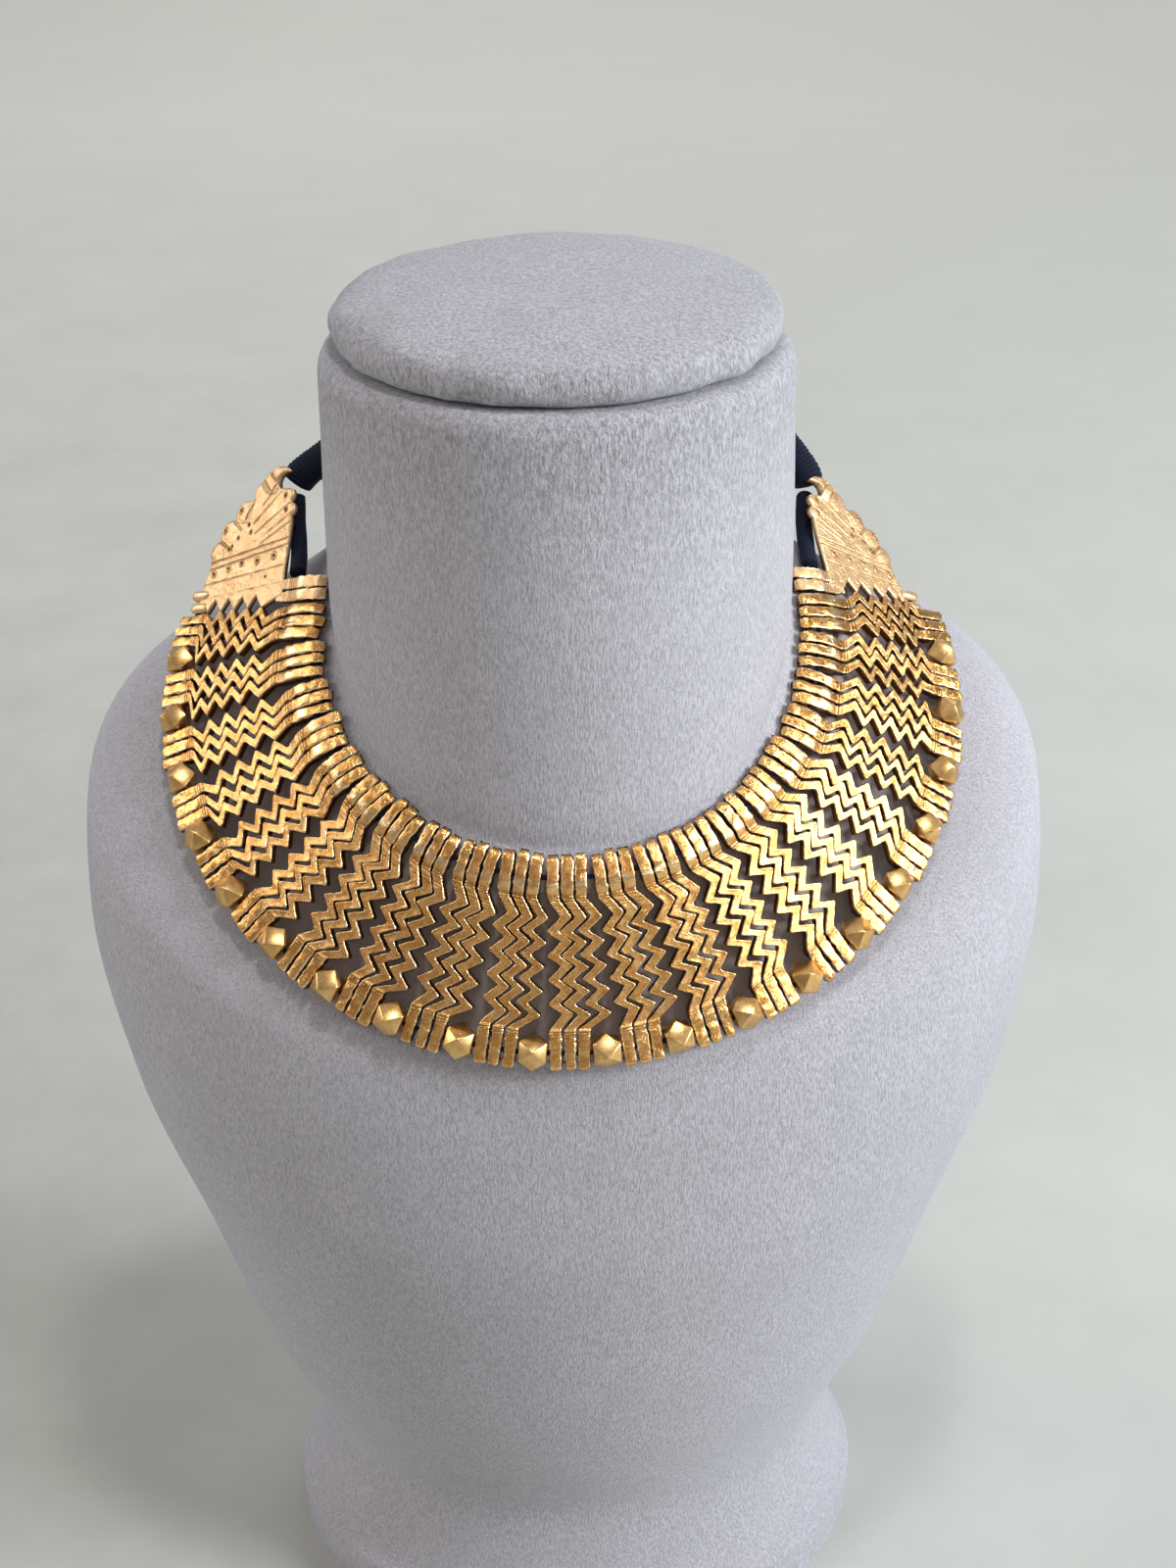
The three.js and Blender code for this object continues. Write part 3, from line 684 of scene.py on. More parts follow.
# The loop of an end plate: a strip's head, which then thins down into the plate.
LOOP_END = 15.0
LOOP_TOP = STRIP_TOP[:8] + table("u w", (9.8, 0.95), (12.2, 0.72), (LOOP_END, 0.45))
LOOP_UNDERSIDE = STRIP_UNDERSIDE[:4] + table("u w", (13.6, -0.62), (LOOP_END, -0.5))
LOOP_HALF = STRIP_HALF[:4] + table("u half", (10.4, 1.45), (13.6, 1.15), (LOOP_END, 0.9))
GROOVES = table(
    "u depth",
    (9.15, 0.12), (9.75, 0.18), (10.35, 0.14), (11.6, 0.09), (12.3, 0.08), (40.95, 0.15), (41.6, 0.12),
    (42.2, 0.07),
)
GROOVE_HALF_WIDTH = 0.17
# The crest's paleness is partly wear and partly a painted highlight.
CREST = 6.6  # u of the head's crest, which is rubbed bright

# The outline of a slice across a strip, anticlockwise from its lower left corner: side is -1 on the
# left wall and 1 on the right, inset is measured from that wall, high is 0 below and 1 on top, and
# drop is measured from there. A wide facet runs along the upper right edge.
# worn pales the upper edges, partly as wear and partly as a painted highlight; the last column darkens the
# walls and the underside with painted shade.
SLICE = table(
    "side inset high drop worn sheltered",
    (-1, 0, 0, -0.25, 0, 1), (-1, 0.3, 0, 0, 0, 1), (1, 0.3, 0, 0, 0, 1),
    (1, 0, 0, -0.25, 0, 1), (1, 0, 0.4, 0, 0, 0.8), (1, 0, 1, 0.6, 0, 0.35),
    (1, 0.03, 1, 0.28, 0.7, 0), (1, 0.17, 1, 0.08, 0.9, 0), (1, 0.36, 1, -0.03, 0.8, 0),
    (1, 0.52, 1, 0, 0.05, 0), (0, 0, 1, -0.03, 0, 0), (-1, 0.36, 1, 0, 0, 0),
    (-1, 0.22, 1, -0.02, 0.7, 0), (-1, 0.03, 1, 0.14, 0.75, 0), (-1, 0, 1, 0.5, 0, 0.5),
    (-1, 0, 0.4, 0, 0, 0.9),
)


def read_table(rows, name, at):
    """A column of a table that has u in its first column, read smoothly at some u."""
    return smooth_through(column(rows, "u"), column(rows, name), at)


def group_shape(group):
    """How the zigzags of a group, counted from 0, are pushed along, fanned out and stepped."""
    for row in END_GROUPS:
        if row["group"] == group + 1:
            return row
    front = math.cos((group - MIDDLE_GROUP) / MIDDLE_GROUP * math.pi / 2)
    return {"longer": 0, "fan": FAN * front, "hold": 0, "step": -0.35 if group > MIDDLE_GROUP else 0.0}


def half_limb(longer):
    return HALF_LIMB * (1 - min(SLIM_LIMB, longer / 12))


def pushed(u, longer):
    """Where u of a plain strip lies in one whose zigzag is pushed toward its foot."""
    in_zigzag = clamp((u - HEAD_END) / (FOOT_START - HEAD_END))
    in_head = clamp((u - 3) / (HEAD_END - 3))
    return u + longer * in_head * (1 - in_zigzag**2)


def zigzag_line(u, spread, own):
    """The middle of a strip across v, at places along it. own is how a strip differs from its fellows."""
    first, pitch, rise, tips = (ZIGZAG[key] for key in ("first", "pitch", "rise", "tips"))
    turns = [(first + tip * pitch, 1) for tip in range(tips)]
    turns += [(first + tip * pitch + rise, -1) for tip in range(tips - 1)]
    knots, across = [0, HEAD_END - 0.5], [0, 0]
    for knot, side in sorted(turns):
        done = (knot - HEAD_END) / (first + (tips - 1) * pitch - HEAD_END)
        knots.append(knot + own["phase"] + own["step"] * done)
        across.append(
            ZIGZAG["centre"] + side * ZIGZAG["swing"] * own["swing"]
            + (spread + own["spread"]) * done + own["sway"] * min(1, 3 * done)
        )
    knots += [FOOT_START + 0.4 * own["phase"], STRIP_LENGTH + 1]
    across += [0, 0]
    reach = np.linspace(-1, 1, 9)
    weights = 1 - np.abs(reach) * 0.6
    return sum(
        weight * np.interp(u + CORNER_REACH * shift, knots, across) for shift, weight in zip(reach, weights)
    ) / weights.sum()


# Where a strip's slices lie: stretches of u, each with its number of slices.
STATIONS = np.unique(np.concatenate([np.linspace(*stretch) for stretch in (
    (0, 2.4, 11), (2.4, 9, 16), (9, 12.6, 31), (12.6, 40.4, 113), (40.4, 42.6, 19), (42.6, 49, 13),
    (49, 50, 7),
)]).round(4))


def lumpiness(u):
    """How lumpy a strip's casting is along it: 1 on the head and the foot, 0 on the zigzag."""
    return clamp((HEAD_END - u) / 1.5) + clamp((u - FOOT_START) / 1.5)


def bar_points(u, middle, half, top, under, seed):
    """A cast bar's points in its own (u, v, w), ring after ring, with how worn each is, partly as a painted
    highlight, and its painted shade.
    """
    cut = sum(row["depth"] * bell(u - row["u"], GROOVE_HALF_WIDTH) for row in GROOVES)
    side, inset, high, drop, worn, sheltered = (np.array(column(SLICE, key), float) for key in SLICE[0])
    half, cut = half[:, None], cut[:, None]
    v = middle[:, None] + side * (half - np.minimum(inset, half * 0.8))
    w = under[:, None] * (1 - high) + top[:, None] * high - drop
    w -= cut * (high == 1) * (drop < 0.4)
    points = all_points(u[:, None], v, w)
    on_top, sides, worn, sheltered, crest, in_groove = (
        np.broadcast_to(values, v.shape).reshape(-1)
        for values in (
            (high == 1).astype(float), side, worn, sheltered, bell(u - CREST, 0.9)[:, None], clamp(cut / 0.2),
        )
    )

    def rough(size, layer):
        return waves(points, size, 1000 * layer + seed)

    lumpy = 1 + 0.9 * lumpiness(points[:, 0])
    points[:, 1] += 0.06 * (rough(2.2, 1) + 0.6 * rough(0.9, 2)) * np.abs(sides) * lumpy
    points[:, 1] -= 0.06 * np.abs(rough(1.5, 5)) * on_top * (sides < 0) * lumpy
    points[:, 2] += on_top * lumpy * (0.06 * rough(2.6, 3) + 0.03 * rough(0.8, 4))
    points[:, 2] -= 0.32 * on_top * np.abs(sides) * lumpiness(points[:, 0])
    crest, in_groove = crest * on_top, in_groove * on_top
    worn = np.clip(np.maximum(worn, 0.8 * crest) * (0.75 + 0.5 * rough(3.0, 6)), 0, 0.95)
    # Grooves get painted shade, and less of the worn paleness.
    sheltered = clamp(np.maximum(sheltered, 0.55 * in_groove))
    return points, worn * (1 - 0.7 * in_groove), sheltered


OWN_SEED = 700
# The order of these rows is the order of the random draws.
OWN_SHAPE = table(
    "name least most",
    ("reach", -0.3, 0.85), ("lean", -0.16, 0.16), ("roll_degrees", -5, 5), ("phase", -0.3, 0.3),
    ("swing", 0.93, 1.08), ("sway", -0.22, 0.22), ("spread", -0.4, 0.4), ("slim", -0.06, 0.07),
    ("arch", 0.2, 0.7), ("head_slim", 0, 0.26), ("foot_slim", 0, 0.26), ("head_turn", -0.9, 0.9),
    ("foot_turn", -0.9, 0.9),
)


def own_shape(k):
    """How strip k differs from its fellows: no two castings are alike, nor do two hang quite alike."""
    rng = np.random.default_rng(OWN_SEED + k)
    return {row["name"]: rng.uniform(row["least"], row["most"]) for row in OWN_SHAPE}


def strip_points(k):
    """Strip k's points in its (u, v, w)."""
    u = STATIONS
    group, place = divmod(k, STRIPS_PER_GROUP)
    shape, own = group_shape(group), own_shape(k)
    longer = shape["longer"]
    own["step"] = shape["step"] * (place - shape["hold"])
    half = read_table(STRIP_HALF, "half", u)
    in_zigzag = clamp((u - HEAD_END) / 2) * clamp((FOOT_START - u) / 2)
    half -= in_zigzag * (HALF_LIMB - half_limb(longer) + own["slim"])
    middle = zigzag_line(u, shape["fan"] * (place - shape["hold"]), own)
    for end, hole, limit in (("head", INNER_HOLE, HEAD_END), ("foot", OUTER_HOLE, FOOT_START)):
        here = clamp((limit - u) / (limit - hole)) ** 0.5
        half -= here * own[end + "_slim"]
        middle += here * own[end + "_slim"] * own[end + "_turn"]
    points, worn, sheltered = bar_points(
        u, middle, half, read_table(STRIP_TOP, "w", u),
        read_table(STRIP_UNDERSIDE, "w", u), k,
    )
    head = clamp(1 - points[:, 0] / 8)
    from_middle = np.clip((points[:, 0] - 25) / 25, -1, 1)
    points[:, 2] += own["lean"] * from_middle + points[:, 1] * math.sin(math.radians(own["roll_degrees"]))
    points[:, 2] += own["arch"] * np.sin(clamp((points[:, 0] - 6) / 39) * math.pi) ** 2
    points[:, 0] = pushed(points[:, 0], longer) - own["reach"] * head
    return points, worn, sheltered


def make_strips():
    faces = loft_faces(len(STATIONS), len(SLICE))
    lumpy = np.tile(np.repeat(lumpiness(STATIONS), len(SLICE)), STRIPS_PER_GROUP)
    for group in range(GROUPS):
        bars = []
        for k in range(group * STRIPS_PER_GROUP, (group + 1) * STRIPS_PER_GROUP):
            points, worn, sheltered = strip_points(k)
            bars.append((placed(points, strip_frame(k)), faces, worn, sheltered))
        points, all_faces, values = joined(bars)
        name = f"strips_{group + 1:02d}"
        new_piece(name + "_cast", points, all_faces, STRIP_GOLD, name, {**values, "lumpy": lumpy})


make_strips()

# ---- end plates

# A plate in raw (u, v): its inner edge is at low u, its teeth are at low v and its hook is at high v.
DOTS = table(
    "u v ring pit",
    # a row between the two lines
    (16.7, 14.5, 0.95, 0.34), (22.6, 13.8, 0.95, 0.34), (28.1, 13.6, 0.9, 0.34),
    (32.7, 12.6, 0.9, 0.32), (37.8, 11.6, 0.9, 0.34),
    # in the lobes
    (30.5, 27.2, 0.9, 0.36), (35.5, 22.6, 0.9, 0.36), (15.2, 29.6, 0.7, 0.3), (14.4, 26, 0.7, 0.3),
    # in the fan
    (27.3, 23.4, 0.55, 0.26), (26.3, 21.4, 0.6, 0.28), (30.6, 20.3, 0.6, 0.28),
    (33.6, 17.6, 0.45, 0.24), (32.4, 18.3, 0.45, 0.24),
    # a punch mark near the inner edge, under the second line
    (18.8, 9.4, 0, 0.24),
)
LINES = table(
    "start end wide deep",
    ((12.4, 18.7), (40, 14.3), 0.2, 0.17), ((12.4, 17), (40.4, 12.6), 0.2, 0.17),
    ((12.4, 12), (41.6, 8.8), 0.18, 0.13), ((12.4, 7.6), (41.6, 5.2), 0.18, 0.06),
    ((22.4, 17.9), (12.3, 22.9), 0.2, 0.15), ((21.4, 20.1), (12.4, 25), 0.2, 0.14),
    ((24.6, 20.9), (13, 27.9), 0.2, 0.16), ((25.4, 23.6), (16, 31.6), 0.2, 0.16),
    ((23, 28), (18.4, 32.6), 0.2, 0.12), ((28.4, 24.6), (26.2, 29.4), 0.24, 0.2),
    ((30, 22.4), (32.9, 25), 0.24, 0.2), ((32.4, 17.3), (37.8, 20.3), 0.26, 0.24),
    # scrolls at the hook's root
    ((17.6, 32.4), (20.6, 35.4), 0.24, 0.3), ((20.6, 31.2), (23, 34), 0.24, 0.3),
)
DOMES = table(
    "u v radius rise",
    (37.2, 17, 2.9, 0.34), (34.2, 21.8, 2.9, 0.3), (29.4, 26.4, 3, 0.3), (14.5, 29.6, 1.8, 0.2),
    (13.6, 25.9, 1.8, 0.2), (20.4, 34.4, 4.2, 0.75),
)
FINE_PITS = {"count": 150, "from": (12, 4), "to": (42, 24), "seed": 431}
PLATE_GRAIN = 0.16  # distance between the points of a plate's face
EDGE_CLEARANCE = 0.09  # how far those points stay from its outline
SLIVER = 2e-5  # twice the area of the smallest triangle of a plate's face
KNOB_PLACE = 43.6  # u of an end plate's knobs
KNOB_REACH = (3.3, 1.4, 1.45)  # from a knob's middle to its sides
LOOP_SHIFT = 0.6  # how far an end plate's loops lie beyond the next two strips
LOOP_THINS = 12.6  # u where a loop's stations stop being a strip's


def lobe(u, v, radius, from_degrees, to_degrees, count=14):
    angles = np.radians(np.linspace(from_degrees, to_degrees, count + 1))
    return [(u + radius * math.cos(a), v + radius * math.sin(a)) for a in angles]


def plate_outline(teeth, reach):
    """The plate's outline, with its corners and its teeth as in its CAD solid."""
    lower = []
    for tooth in range(teeth["count"]):
        at = teeth["first"] + tooth * teeth["pitch"]
        lower.append((at, reach - 0.2))
        if tooth < teeth["count"] - 1:
            lower.append((at + teeth["pitch"] / 2, reach + 3.1))
    corners = [
        (12.2, 4.4), *lower, (39.6, reach + 2), (40.6, 3.2), (42.0, 3.2), (41.8, 7.6), (39.8, 13.2),
        *lobe(37.2, 16.9, 3.1, -30, 75), *lobe(34.2, 21.8, 3.2, -25, 80), *lobe(29.4, 26.4, 3.3, -20, 85),
        *lobe(23.6, 30.8, 3.3, -25, 60),
        # the hook
        (22.6, 35.2), (21.5, 36.4), (20, 37.1), (18.6, 37.5), (17.2, 37.4), (16, 36.8), (15, 36),
        (16.2, 36.0), (17.2, 35.5), (18.1, 34.7), (18.4, 33.8), (18.3, 32.8), (17.8, 31.8),
        *lobe(14.5, 29.6, 1.9, 70, 230), *lobe(13.6, 25.9, 1.9, 115, 240), (12.4, 22.8), (12.4, 9.5),
    ]
    points = []
    for start, end in zip(corners, corners[1:] + corners[:1]):
        start, end = np.array(start), np.array(end)
        parts = max(1, math.ceil(np.linalg.norm(end - start) / 0.3))
        points += [start + (end - start) * i / parts for i in range(parts)]
    return np.array(points)


def far_from_line(points, start, end):
    """Distance of each point from a straight stretch."""
    along = np.subtract(end, start)
    t = clamp((points - start) @ along / (along @ along))
    return norms(points - start - t[:, None] * along)


def engraving(points):
    """Height of the plate's face above its plain face, and the painted shade in its lines, rings and pits, at
    raw (u, v).
    """
    flat = np.column_stack([points, np.zeros(len(points))])
    height = 0.05 * waves(flat, 5.0, 401) + 0.024 * waves(flat, 1.1, 402) + 0.012 * waves(flat, 0.5, 403)
    sheltered = np.zeros(len(points))
    for row in DOMES:
        away = norms(points - (row["u"], row["v"])) / row["radius"]
        height += row["rise"] * clamp(1 - away**2)
    for i, row in enumerate(LINES):
        away = far_from_line(points, row["start"], row["end"]) + 0.09 * waves(flat, 4.0, 410 + i)
        inside = bell(away, row["wide"])
        height -= row["deep"] * inside
        height += 0.3 * row["deep"] * bell(away - 2.1 * row["wide"], row["wide"])
        sheltered = np.maximum(sheltered, 0.26 * inside * min(1, row["deep"] / 0.15))
    for row in DOTS:
        away = norms((points - (row["u"], row["v"])) * (1.0, 0.9))
        pit = np.exp(-((away / (1.2 * row["pit"])) ** 4))
        height -= 0.5 * pit
        sheltered = np.maximum(sheltered, pit)
        if row["ring"]:
            ring = bell(away - row["ring"], 0.13)
            height += 0.12 * bell(away - 0.62 * row["ring"], 0.2) - 0.08 * ring
            sheltered = np.maximum(sheltered, 0.42 * ring)
    rng = np.random.default_rng(FINE_PITS["seed"])
    for place in rng.uniform(FINE_PITS["from"], FINE_PITS["to"], (FINE_PITS["count"], 2)):
        pit = bell(norms(points - place), 0.16)
        height -= 0.12 * pit
        sheltered = np.maximum(sheltered, 0.15 * pit)
    return height, sheltered


def inside_outline(points, outline):
    """Which points lie inside a closed outline."""
    inside = np.zeros(len(points), bool)
    for start, end in zip(outline, np.roll(outline, -1, axis=0)):
        if end[1] != start[1]:
            crosses = (start[1] > points[:, 1]) != (end[1] > points[:, 1])
            at = start[0] + (points[:, 1] - start[1]) * (end[0] - start[0]) / (end[1] - start[1])
            inside ^= crosses & (points[:, 0] < at)
    return inside


def plate_face(outline):
    """Points and triangles that fill an outline. The outline's own points come first."""
    low, high = outline.min(0), outline.max(0)
    rows = []
    for i, v in enumerate(np.arange(low[1], high[1], PLATE_GRAIN * 0.87)):
        u = np.arange(low[0] + (i % 2) * PLATE_GRAIN / 2, high[0], PLATE_GRAIN)
        rows.append(np.column_stack([u, np.full(len(u), v)]))
    grid = np.concatenate(rows)
    grid = grid[inside_outline(grid, outline) & (far_from_outline(grid, outline, 1) > EDGE_CLEARANCE)]
    places = np.concatenate([outline, grid])
    count = len(outline)
    loop = [(i, (i + 1) % count) for i in range(count)]
    found, _, triangles, origins, _, _ = delaunay_2d_cdt([Vector(p) for p in places], loop, [], 1, 1e-5, True)
    kept = np.array([origin[0] if origin else -1 for origin in origins])
    lost = np.flatnonzero(kept < 0)
    if len(lost):
        kept[lost] = len(places) + np.arange(len(lost))
        places = np.concatenate([places, np.array([found[i] for i in lost])])
    triangles = kept[np.array([list(triangle) for triangle in triangles])]
    first, second, third = (places[triangles[:, corner]] for corner in range(3))
    (across, up), (along, away) = (second - first).T, (third - first).T
    not_sliver = np.abs(across * away - up * along) > SLIVER
    triangles = triangles[inside_outline(places[triangles].mean(1), outline) & not_sliver]
    return places, triangles.tolist(), count


def far_from_outline(points, outline, limit):
    """Distance of each point from an outline, where it is under about the limit."""
    far = np.full(len(points), 9.0)
    for start, end in zip(outline, np.roll(outline, -1, axis=0)):
        close = np.abs(points - start).max(1) < limit
        far[close] = np.minimum(far[close], far_from_line(points[close], start, end))
    return far


def plate_body(teeth, reach, place, seed):
    """The plate itself: its engraved face, its rounded rim and its plain back."""
    outline = plate_outline(teeth, reach)
    raw, faces, count = plate_face(outline)
    height, sheltered = engraving(raw)
    rim = far_from_outline(raw, outline, 1.2)
    height = height * np.clip(rim / 0.3, 0.2, 1) - 0.3 * np.exp(-rim / 0.22)
    half = PLATE_THICKNESS / 2
    flat = raw + (place["slide"], 0)
    flat[:, 1] = reach + (raw[:, 1] - reach) * place["stretch"]
    inward = outline.mean(0) - outline
    under = flat[:count] + 0.12 * inward / norms(inward)[:, None]
    points = np.concatenate([
        np.column_stack([flat, half + height]), np.column_stack([flat[:count], np.full(count, -half + 0.18)]),
        np.column_stack([under, np.full(count, -half)]),
    ])
    lower, bottom = len(raw), len(raw) + count
    for i in range(count):
        j = (i + 1) % count
        faces.append([i, lower + i, lower + j, j])
        faces.append([lower + i, bottom + i, bottom + j, lower + j])
    faces.append([bottom + i for i in range(count)][::-1])
    patches = 0.12 * waves(np.column_stack([raw, np.zeros(len(raw))]), 6.0, seed)
    # The rim is paler, partly as wear and partly as a painted highlight; the rim's wall and the back get
    # painted shade.
    worn = np.clip(0.5 * np.exp(-rim / 0.3) + patches, 0, 0.8)
    return (
        points, faces, np.concatenate([worn * (1 - sheltered), np.zeros(2 * count)]),
        np.concatenate([sheltered, np.full(count, 0.6), np.ones(count)]),
    )


def plate_loop(step, seed):
    """One of a plate's two loops: a strip's head that thins down into the plate."""
    u = np.unique(np.concatenate([
        STATIONS[STATIONS < LOOP_THINS], np.linspace(LOOP_THINS, LOOP_END, 18),
    ]).round(4))
    points, worn, sheltered = bar_points(
        u, np.full(len(u), step * HEAD_PITCH + LOOP_SHIFT), read_table(LOOP_HALF, "half", u),
        read_table(LOOP_TOP, "w", u), read_table(LOOP_UNDERSIDE, "w", u), seed + 10 * step,
    )
    points[:, 0] += 1.2 * clamp((points[:, 0] - 3) / 8)
    return points, loft_faces(len(u), len(SLICE)), worn, sheltered


def plate_parts(teeth, reach, place, seed):
    """A plate with its loops and knobs in its end strip's (u, v, w)."""
    bodies = [plate_body(teeth, reach, place, seed)]
    for step in (1, 2):
        knob, faces = knob_points(KNOB_PLACE, step * FOOT_PITCH, seed + step)
        # The knobs are a little worn, and their lower halves get painted shade.
        bodies.append((knob, faces, np.full(len(knob), 0.35), clamp(-knob[:, 2] / 1.2)))
    turn, lift = math.radians(place["turn"]), math.radians(place["lift"])
    for points, *_ in bodies:
        w, u = turned(points[:, 2], points[:, 0] - PLATE_PIVOT, turn)
        points[:, 0], points[:, 2] = PLATE_PIVOT + u, w
    points, faces, values = joined(bodies + [plate_loop(step, seed) for step in (1, 2)])
    points[:, 1], points[:, 2] = turned(points[:, 1], points[:, 2], lift)
    return points, faces, values


def knob_points(u, v, seed):
    """A flattened round knob, a little uneven."""
    rows, sides = 22, 32
    tilt = np.linspace(0.02, math.pi - 0.02, rows)[:, None]
    angles = around(sides)
    shape = all_points(-np.cos(tilt), np.sin(tilt) * np.cos(angles), np.sin(tilt) * np.sin(angles))
    shape = np.sign(shape) * np.abs(shape) ** 0.8
    points = shape * KNOB_REACH
    points *= (1 + 0.05 * waves(points, 3.0, seed))[:, None]
    return points + (u, v, 0), loft_faces(rows, sides)


def make_plates():
    for side, teeth, place, k, toward, seed in (
        ("right", RIGHT_TEETH, RIGHT_PLATE, STRIPS - 1, 1, 501), ("left", LEFT_TEETH, LEFT_PLATE, 0, -1, 601),
    ):
        limb = half_limb(group_shape(k // STRIPS_PER_GROUP)["longer"])
        reach = ZIGZAG["swing"] + limb + toward * ZIGZAG["centre"]
        points, faces, values = plate_parts(teeth, reach, place, seed)
        if side == "left":
            points[:, 1] *= -1
            faces = [face[::-1] for face in faces]
        points = placed(points, strip_frame(k))
        name = f"end_plate_{side}"
        new_piece(name + "_engraved", points, faces, PLATE_GOLD, name, values, sharp=50)


make_plates()

# ---- threads


def hole_route(hole):
    """Where one thread runs: from inside a plate's second fitting through every strip to the other's."""
    head = hole == INNER_HOLE

    def fitting(k, side, place, step):
        turn, lift = math.radians(0 if head else place["turn"]), math.radians(place["lift"])
        v = step * HEAD_PITCH + LOOP_SHIFT if head else step * FOOT_PITCH
        w, u = turned(0, (hole if head else KNOB_PLACE) - PLATE_PIVOT, turn)
        v, w = turned(v, w, lift)
        return placed([PLATE_PIVOT + u, side * v, w], strip_frame(k))

    route = [fitting(0, -1, LEFT_PLATE, step) for step in (1.9, 1)]
    route += [placed([hole, 0, 0], strip_frame(k)) for k in range(STRIPS)]
    return route + [fitting(STRIPS - 1, 1, RIGHT_PLATE, step) for step in (1, 1.9)]


def make_threads():
    for name, hole, seed in (("inner_thread", INNER_HOLE, 111), ("outer_thread", OUTER_HOLE, 121)):
        wound_cord(name, hole_route(hole), STRUNG_THREAD, seed)


make_threads()

# ---- beads

BEAD_ROUNDING = 0.2


def make_beads():
    """Each bead keeps its CAD node's place and facets, with the edges softened."""
    for number in range(1, GROUPS):
        name = f"bead_{number:02d}"
        shape = bmesh.new()
        shape.from_mesh(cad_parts[name].data)
        bmesh.ops.remove_doubles(shape, verts=shape.verts, dist=1e-5)
        bmesh.ops.dissolve_limit(shape, angle_limit=math.radians(3), verts=shape.verts, edges=shape.edges)
        bmesh.ops.bevel(
            shape, geom=list(shape.edges) + list(shape.verts), offset=BEAD_ROUNDING * MILLIMETRE,
            segments=2, profile=0.5, affect="EDGES",
        )
        bmesh.ops.triangulate(shape, faces=[f for f in shape.faces if len(f.verts) > 4])
        mesh = bpy.data.meshes.new(name + "_satin")
        shape.to_mesh(mesh)
        shape.free()
        show(name + "_satin", mesh, BEAD_GOLD, name, sharp=24)


make_beads()

# ---- bust

BUST_SECTIONS = table(
    "wide mid_y deep mid_z dip bend_z flat_y flat_z",
    (81, 0, 66, 0, 0, 0, 0.05, 0), (81, 0, 66, 12, 0, 0, 0.05, 0), (78, 0, 63, 15.5, 0, 0, 0.05, 0),
    (72, 0, 56, 40, 2, 0, 0.05, 1), (79, 0, 61, 60, 4, 0, 0.1, 1), (88, 0, 67, 80, 7, 0, 0.15, 1),
    (102, 2, 77, 125, 12, 0, 0.24, 1), (116.5, 5, 83.5, 170, 20, 0, 0.3, 1),
    (122.5, 7, 84, 210, 32, 0, 0.32, 0.9), (120.5, 8, 82.6, 237, 41, 0, 0.32, 0.85),
    (110, 8, 80.4, 250.6, 49.6, 1, 0.33, 0.79), (92, 8.6, 79.9, 256.6, 53.2, 1.6, 0.33, 0.74),
    (58.9, -1, 57.9, 286.1, 48.3, 7.1, 0, 0.62), (54.2, 0, 55.4, 293.5, 48.5, 6.5, 0.01, 0.61),
    (55.4, 0, 55.2, 302, 44, 5, 0, 0.57), (55.3, 0, 54.9, 316, 29, 3, 0, 0.55),
    (54.8, 0, 54.6, 336, 4, 0, 0, 0), (54.6, 0, 54.4, 347.5, -0.6, 0, 0, 0),
    (54, 0, 53.8, 350.2, -0.6, 0, 0, 0), (52.4, 0, 52.2, 352.4, -0.4, 0, 0, 0),
    (49.5, 0, 49.5, 353.2, 0, 0, 0, 0),
)
BUST_SIDES = 192
CLOSE_SECTIONS = (3, 4, 5, 6, 7, 8, 9, 11)  # the gaps between sections that have more rings
COLLAR_BOTTOM, COLLAR_TOP = 180, 310


def painted_shade_under_strips(points):
    """How far each point of the bust lies under the strips, where the flock gets painted shade tinted warm as
    a painted reflection of the gold.
    """
    u = np.arange(8, 45, 1.5)
    middle = np.column_stack([u, np.full(len(u), 1.2), np.full(len(u), -1.3)])
    over = np.concatenate([placed(middle, strip_frame(k)) for k in range(STRIPS)])
    warm_painted_shade = np.zeros(len(points))
    near = np.flatnonzero((points[:, 2] > COLLAR_BOTTOM) & (points[:, 2] < COLLAR_TOP))
    for part in np.array_split(near, max(1, len(near) // 2000)):
        away = norms(points[part, None, :] - over[None, :, :]).min(axis=1)
        warm_painted_shade[part] = 0.8 * clamp((8 - away) / 4)
    return warm_painted_shade


def make_bust():
    """The bust through the same sections as its CAD solid, with more sections between them."""
    gaps = range(len(BUST_SECTIONS) - 1)
    between = np.unique(np.concatenate([
        np.linspace(i, i + 1, 9 if i in CLOSE_SECTIONS else 6) for i in gaps
    ]).round(5))
    columns = {
        key: smooth_through(range(len(BUST_SECTIONS)), column(BUST_SECTIONS, key), between)
        for key in BUST_SECTIONS[0]
    }
    angles = around(BUST_SIDES)
    points = np.concatenate([
        ring_points({key: columns[key][i] for key in columns}, angles) for i in range(len(between))
    ])
    points[:, 2] = np.maximum(points[:, 2], 0)
    faces = loft_faces(len(between), BUST_SIDES)
    # The flock under the strips gets warm painted shade.
    values = {"warm_painted_shade": painted_shade_under_strips(points)}
    new_piece("bust_flocked", points, faces, FLOCK, "bust_body", values, sharp=40)


make_bust()

LID_PROFILE = table(
    "r z",
    (0, 353.55), (40, 353.55), (47.5, 353.6), (49.6, 354.3), (50.9, 355.7), (51.4, 357.8),
    (51.2, 359.9), (50.2, 361.7), (48.2, 363), (45, 363.9), (38, 365.1), (28, 366.1),
    (15, 366.8), (0.6, 367),
)
LID_SIDES = 160
LID_TOP = 367.4


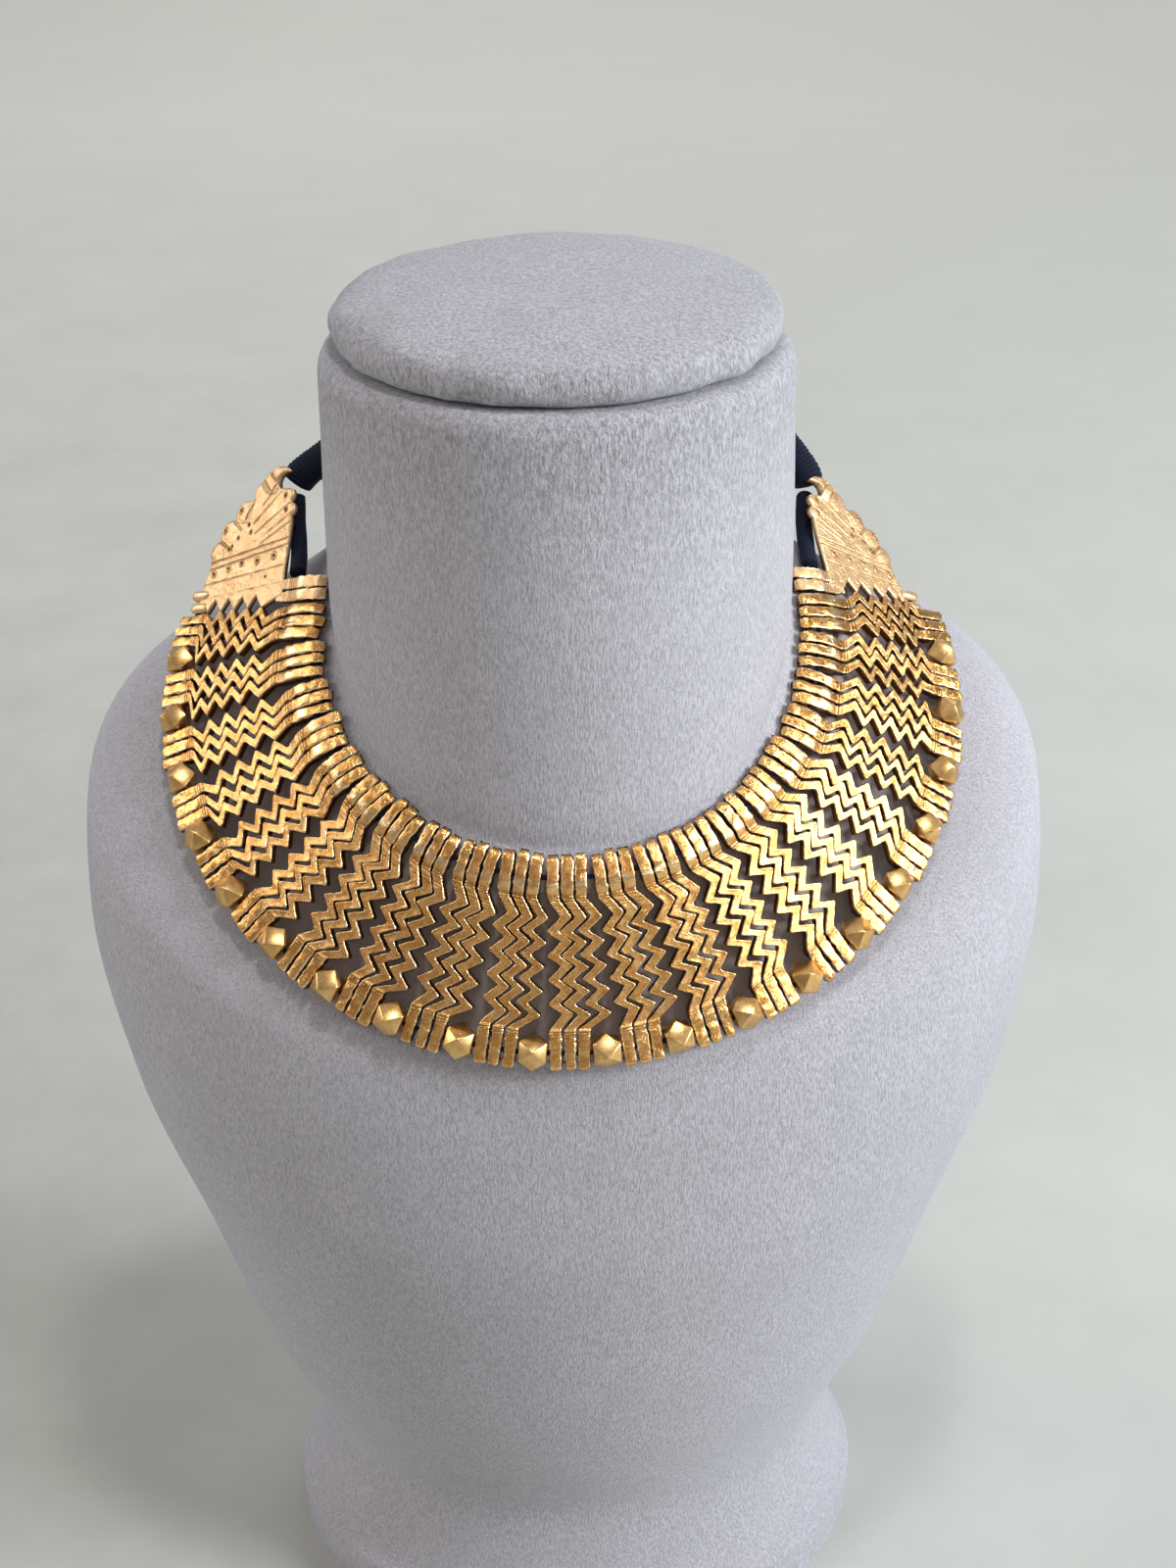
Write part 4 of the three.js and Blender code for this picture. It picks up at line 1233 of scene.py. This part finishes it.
def make_lid():
    """A domed cushion with a soft rolled rim."""
    along = range(len(LID_PROFILE))
    fine = np.linspace(0, len(LID_PROFILE) - 1, 66)
    radius, height = (
        smooth_through(along, column(LID_PROFILE, key), fine)[:, None] for key in ("r", "z")
    )
    angles = around(LID_SIDES)
    points = all_points(radius * np.sin(angles), -radius * np.cos(angles), height)
    points[:, 2] += 0.35 * clamp((points[:, 2] - 355) / 8) * waves(points, 30, 71)
    outward = points[:, :2] / np.maximum(norms(points[:, :2]), 1)[:, None]
    points[:, :2] += 0.4 * outward * waves(points, 16, 72)[:, None]
    rim = clamp((361 - points[:, 2]) / 5) * clamp((points[:, 2] - 353.8) / 1.5)
    points[:, 2] += 0.3 * rim * waves(points, 6, 73)
    points[:, 2] = np.minimum(points[:, 2], LID_TOP)
    faces = loft_faces(len(fine), LID_SIDES)
    piece = new_piece("bust_lid_cushion", points, faces, FLOCK, "bust_lid")


make_lid()

# ---- floor and light

FLOOR_REACH = 40  # metres from the middle to each side
# Painted light on the floor: along each axis the colour is mixed toward a paler one.
FLOOR_PAINTED_LIGHT = table(
    "axis near far colour",
    ("Y", 0.3, 1.7, (0.98, 0.98, 0.91)), ("X", -0.25, 0.6, (0.67, 0.68, 0.645)),
    ("Y", -1.0, -3.0, (0.98, 0.97, 0.93)), ("X", -1.0, -3.0, (0.98, 0.97, 0.93)),
)


def make_floor():
    """A plain pale floor with painted light: paler toward the back and the right, and paler again far off to
    the front and the left.
    """
    mesh = bpy.data.meshes.new("floor")
    corners = [(x * FLOOR_REACH, y * FLOOR_REACH, 0) for x, y in ((-1, -1), (1, -1), (1, 1), (-1, 1))]
    mesh.from_pydata(corners, [], [(0, 1, 2, 3)])
    material, tree, shader, place = new_material("pale_floor")
    clouds = ramp(tree, noise(tree, place, 90.0, 6.0, 0.65), [(0.3, 0.0), (0.7, 1.0)])
    shade = mix(tree, clouds, (0.405, 0.405, 0.375), (0.50, 0.505, 0.47))
    parts = add_node(tree, "ShaderNodeSeparateXYZ", Vector=place)
    # Each row paints light on the floor as a gradient.
    for row in FLOOR_PAINTED_LIGHT:
        away = rescaled(tree, parts.outputs[row["axis"]], row["near"], row["far"], 0.0, 0.75)
        shade = mix(tree, away, shade, row["colour"])
    set_inputs(tree, shader, Base_Color=shade, Roughness=0.9)
    mesh.materials.append(material)
    new_object("floor", mesh)


LIGHTS = table(
    "name x y z size watts to colour",
    ("key", 1500, -560, 1000, 700, 34.5, (0, 0, 260), (0.89, 0.95, 1.0)),
    ("fill", -1400, 120, 960, 800, 8.6, (0, 0, 260), (1.0, 0.98, 0.95)),
    ("top", 120, -250, 1500, 120, 4, (0, 0, 260), (1.0, 1.0, 1.0)),
    ("front", 120, -1080, 930, 420, 0.8, (0, -60, 245), (1.0, 0.97, 0.92)),
    ("back", 900, 2900, 2200, 2600, 27, (900, 2900, 0), (1.0, 1.0, 0.98)),
)


def make_lights():
    for row in LIGHTS:
        data = bpy.data.lights.new(row["name"], "AREA")
        data.shape = "SQUARE"
        data.size = row["size"] * MILLIMETRE
        data.energy = row["watts"]
        data.color = row["colour"]
        lamp = new_object(row["name"], data)
        lamp.location = mm([row["x"], row["y"], row["z"]])
        toward = Vector(mm(row["to"])) - lamp.location
        lamp.rotation_mode = "QUATERNION"
        lamp.rotation_quaternion = toward.to_track_quat("-Z", "Y")


def make_world():
    """A studio's room: warm behind the camera, cool in front of it, and one grey round the horizon."""
    world = bpy.data.worlds.new("studio")
    world.use_nodes = True
    tree = world.node_tree
    direction = tree.nodes.new("ShaderNodeTexCoord").outputs["Generated"]
    parts = add_node(tree, "ShaderNodeSeparateXYZ", Vector=direction)
    back = rescaled(tree, parts.outputs["Y"], -1.0, 0.4, 0.0, 1.0)
    room = ramp(tree, back, [(0.0, (0.50, 0.40, 0.31)), (0.5, (0.42, 0.41, 0.41)), (1.0, (0.56, 0.59, 0.64))])
    low = ramp(tree, parts.outputs["Z"], [(0.0, 1.0), (0.12, 0.9), (0.3, 0.0)])
    set_inputs(
        tree, tree.nodes["Background"], Color=mix(tree, low, room, (0.44, 0.435, 0.42)), Strength=0.6,
    )
    bpy.context.scene.world = world


make_floor()
make_lights()
make_world()
bpy.context.scene.view_settings.view_transform = "Standard"
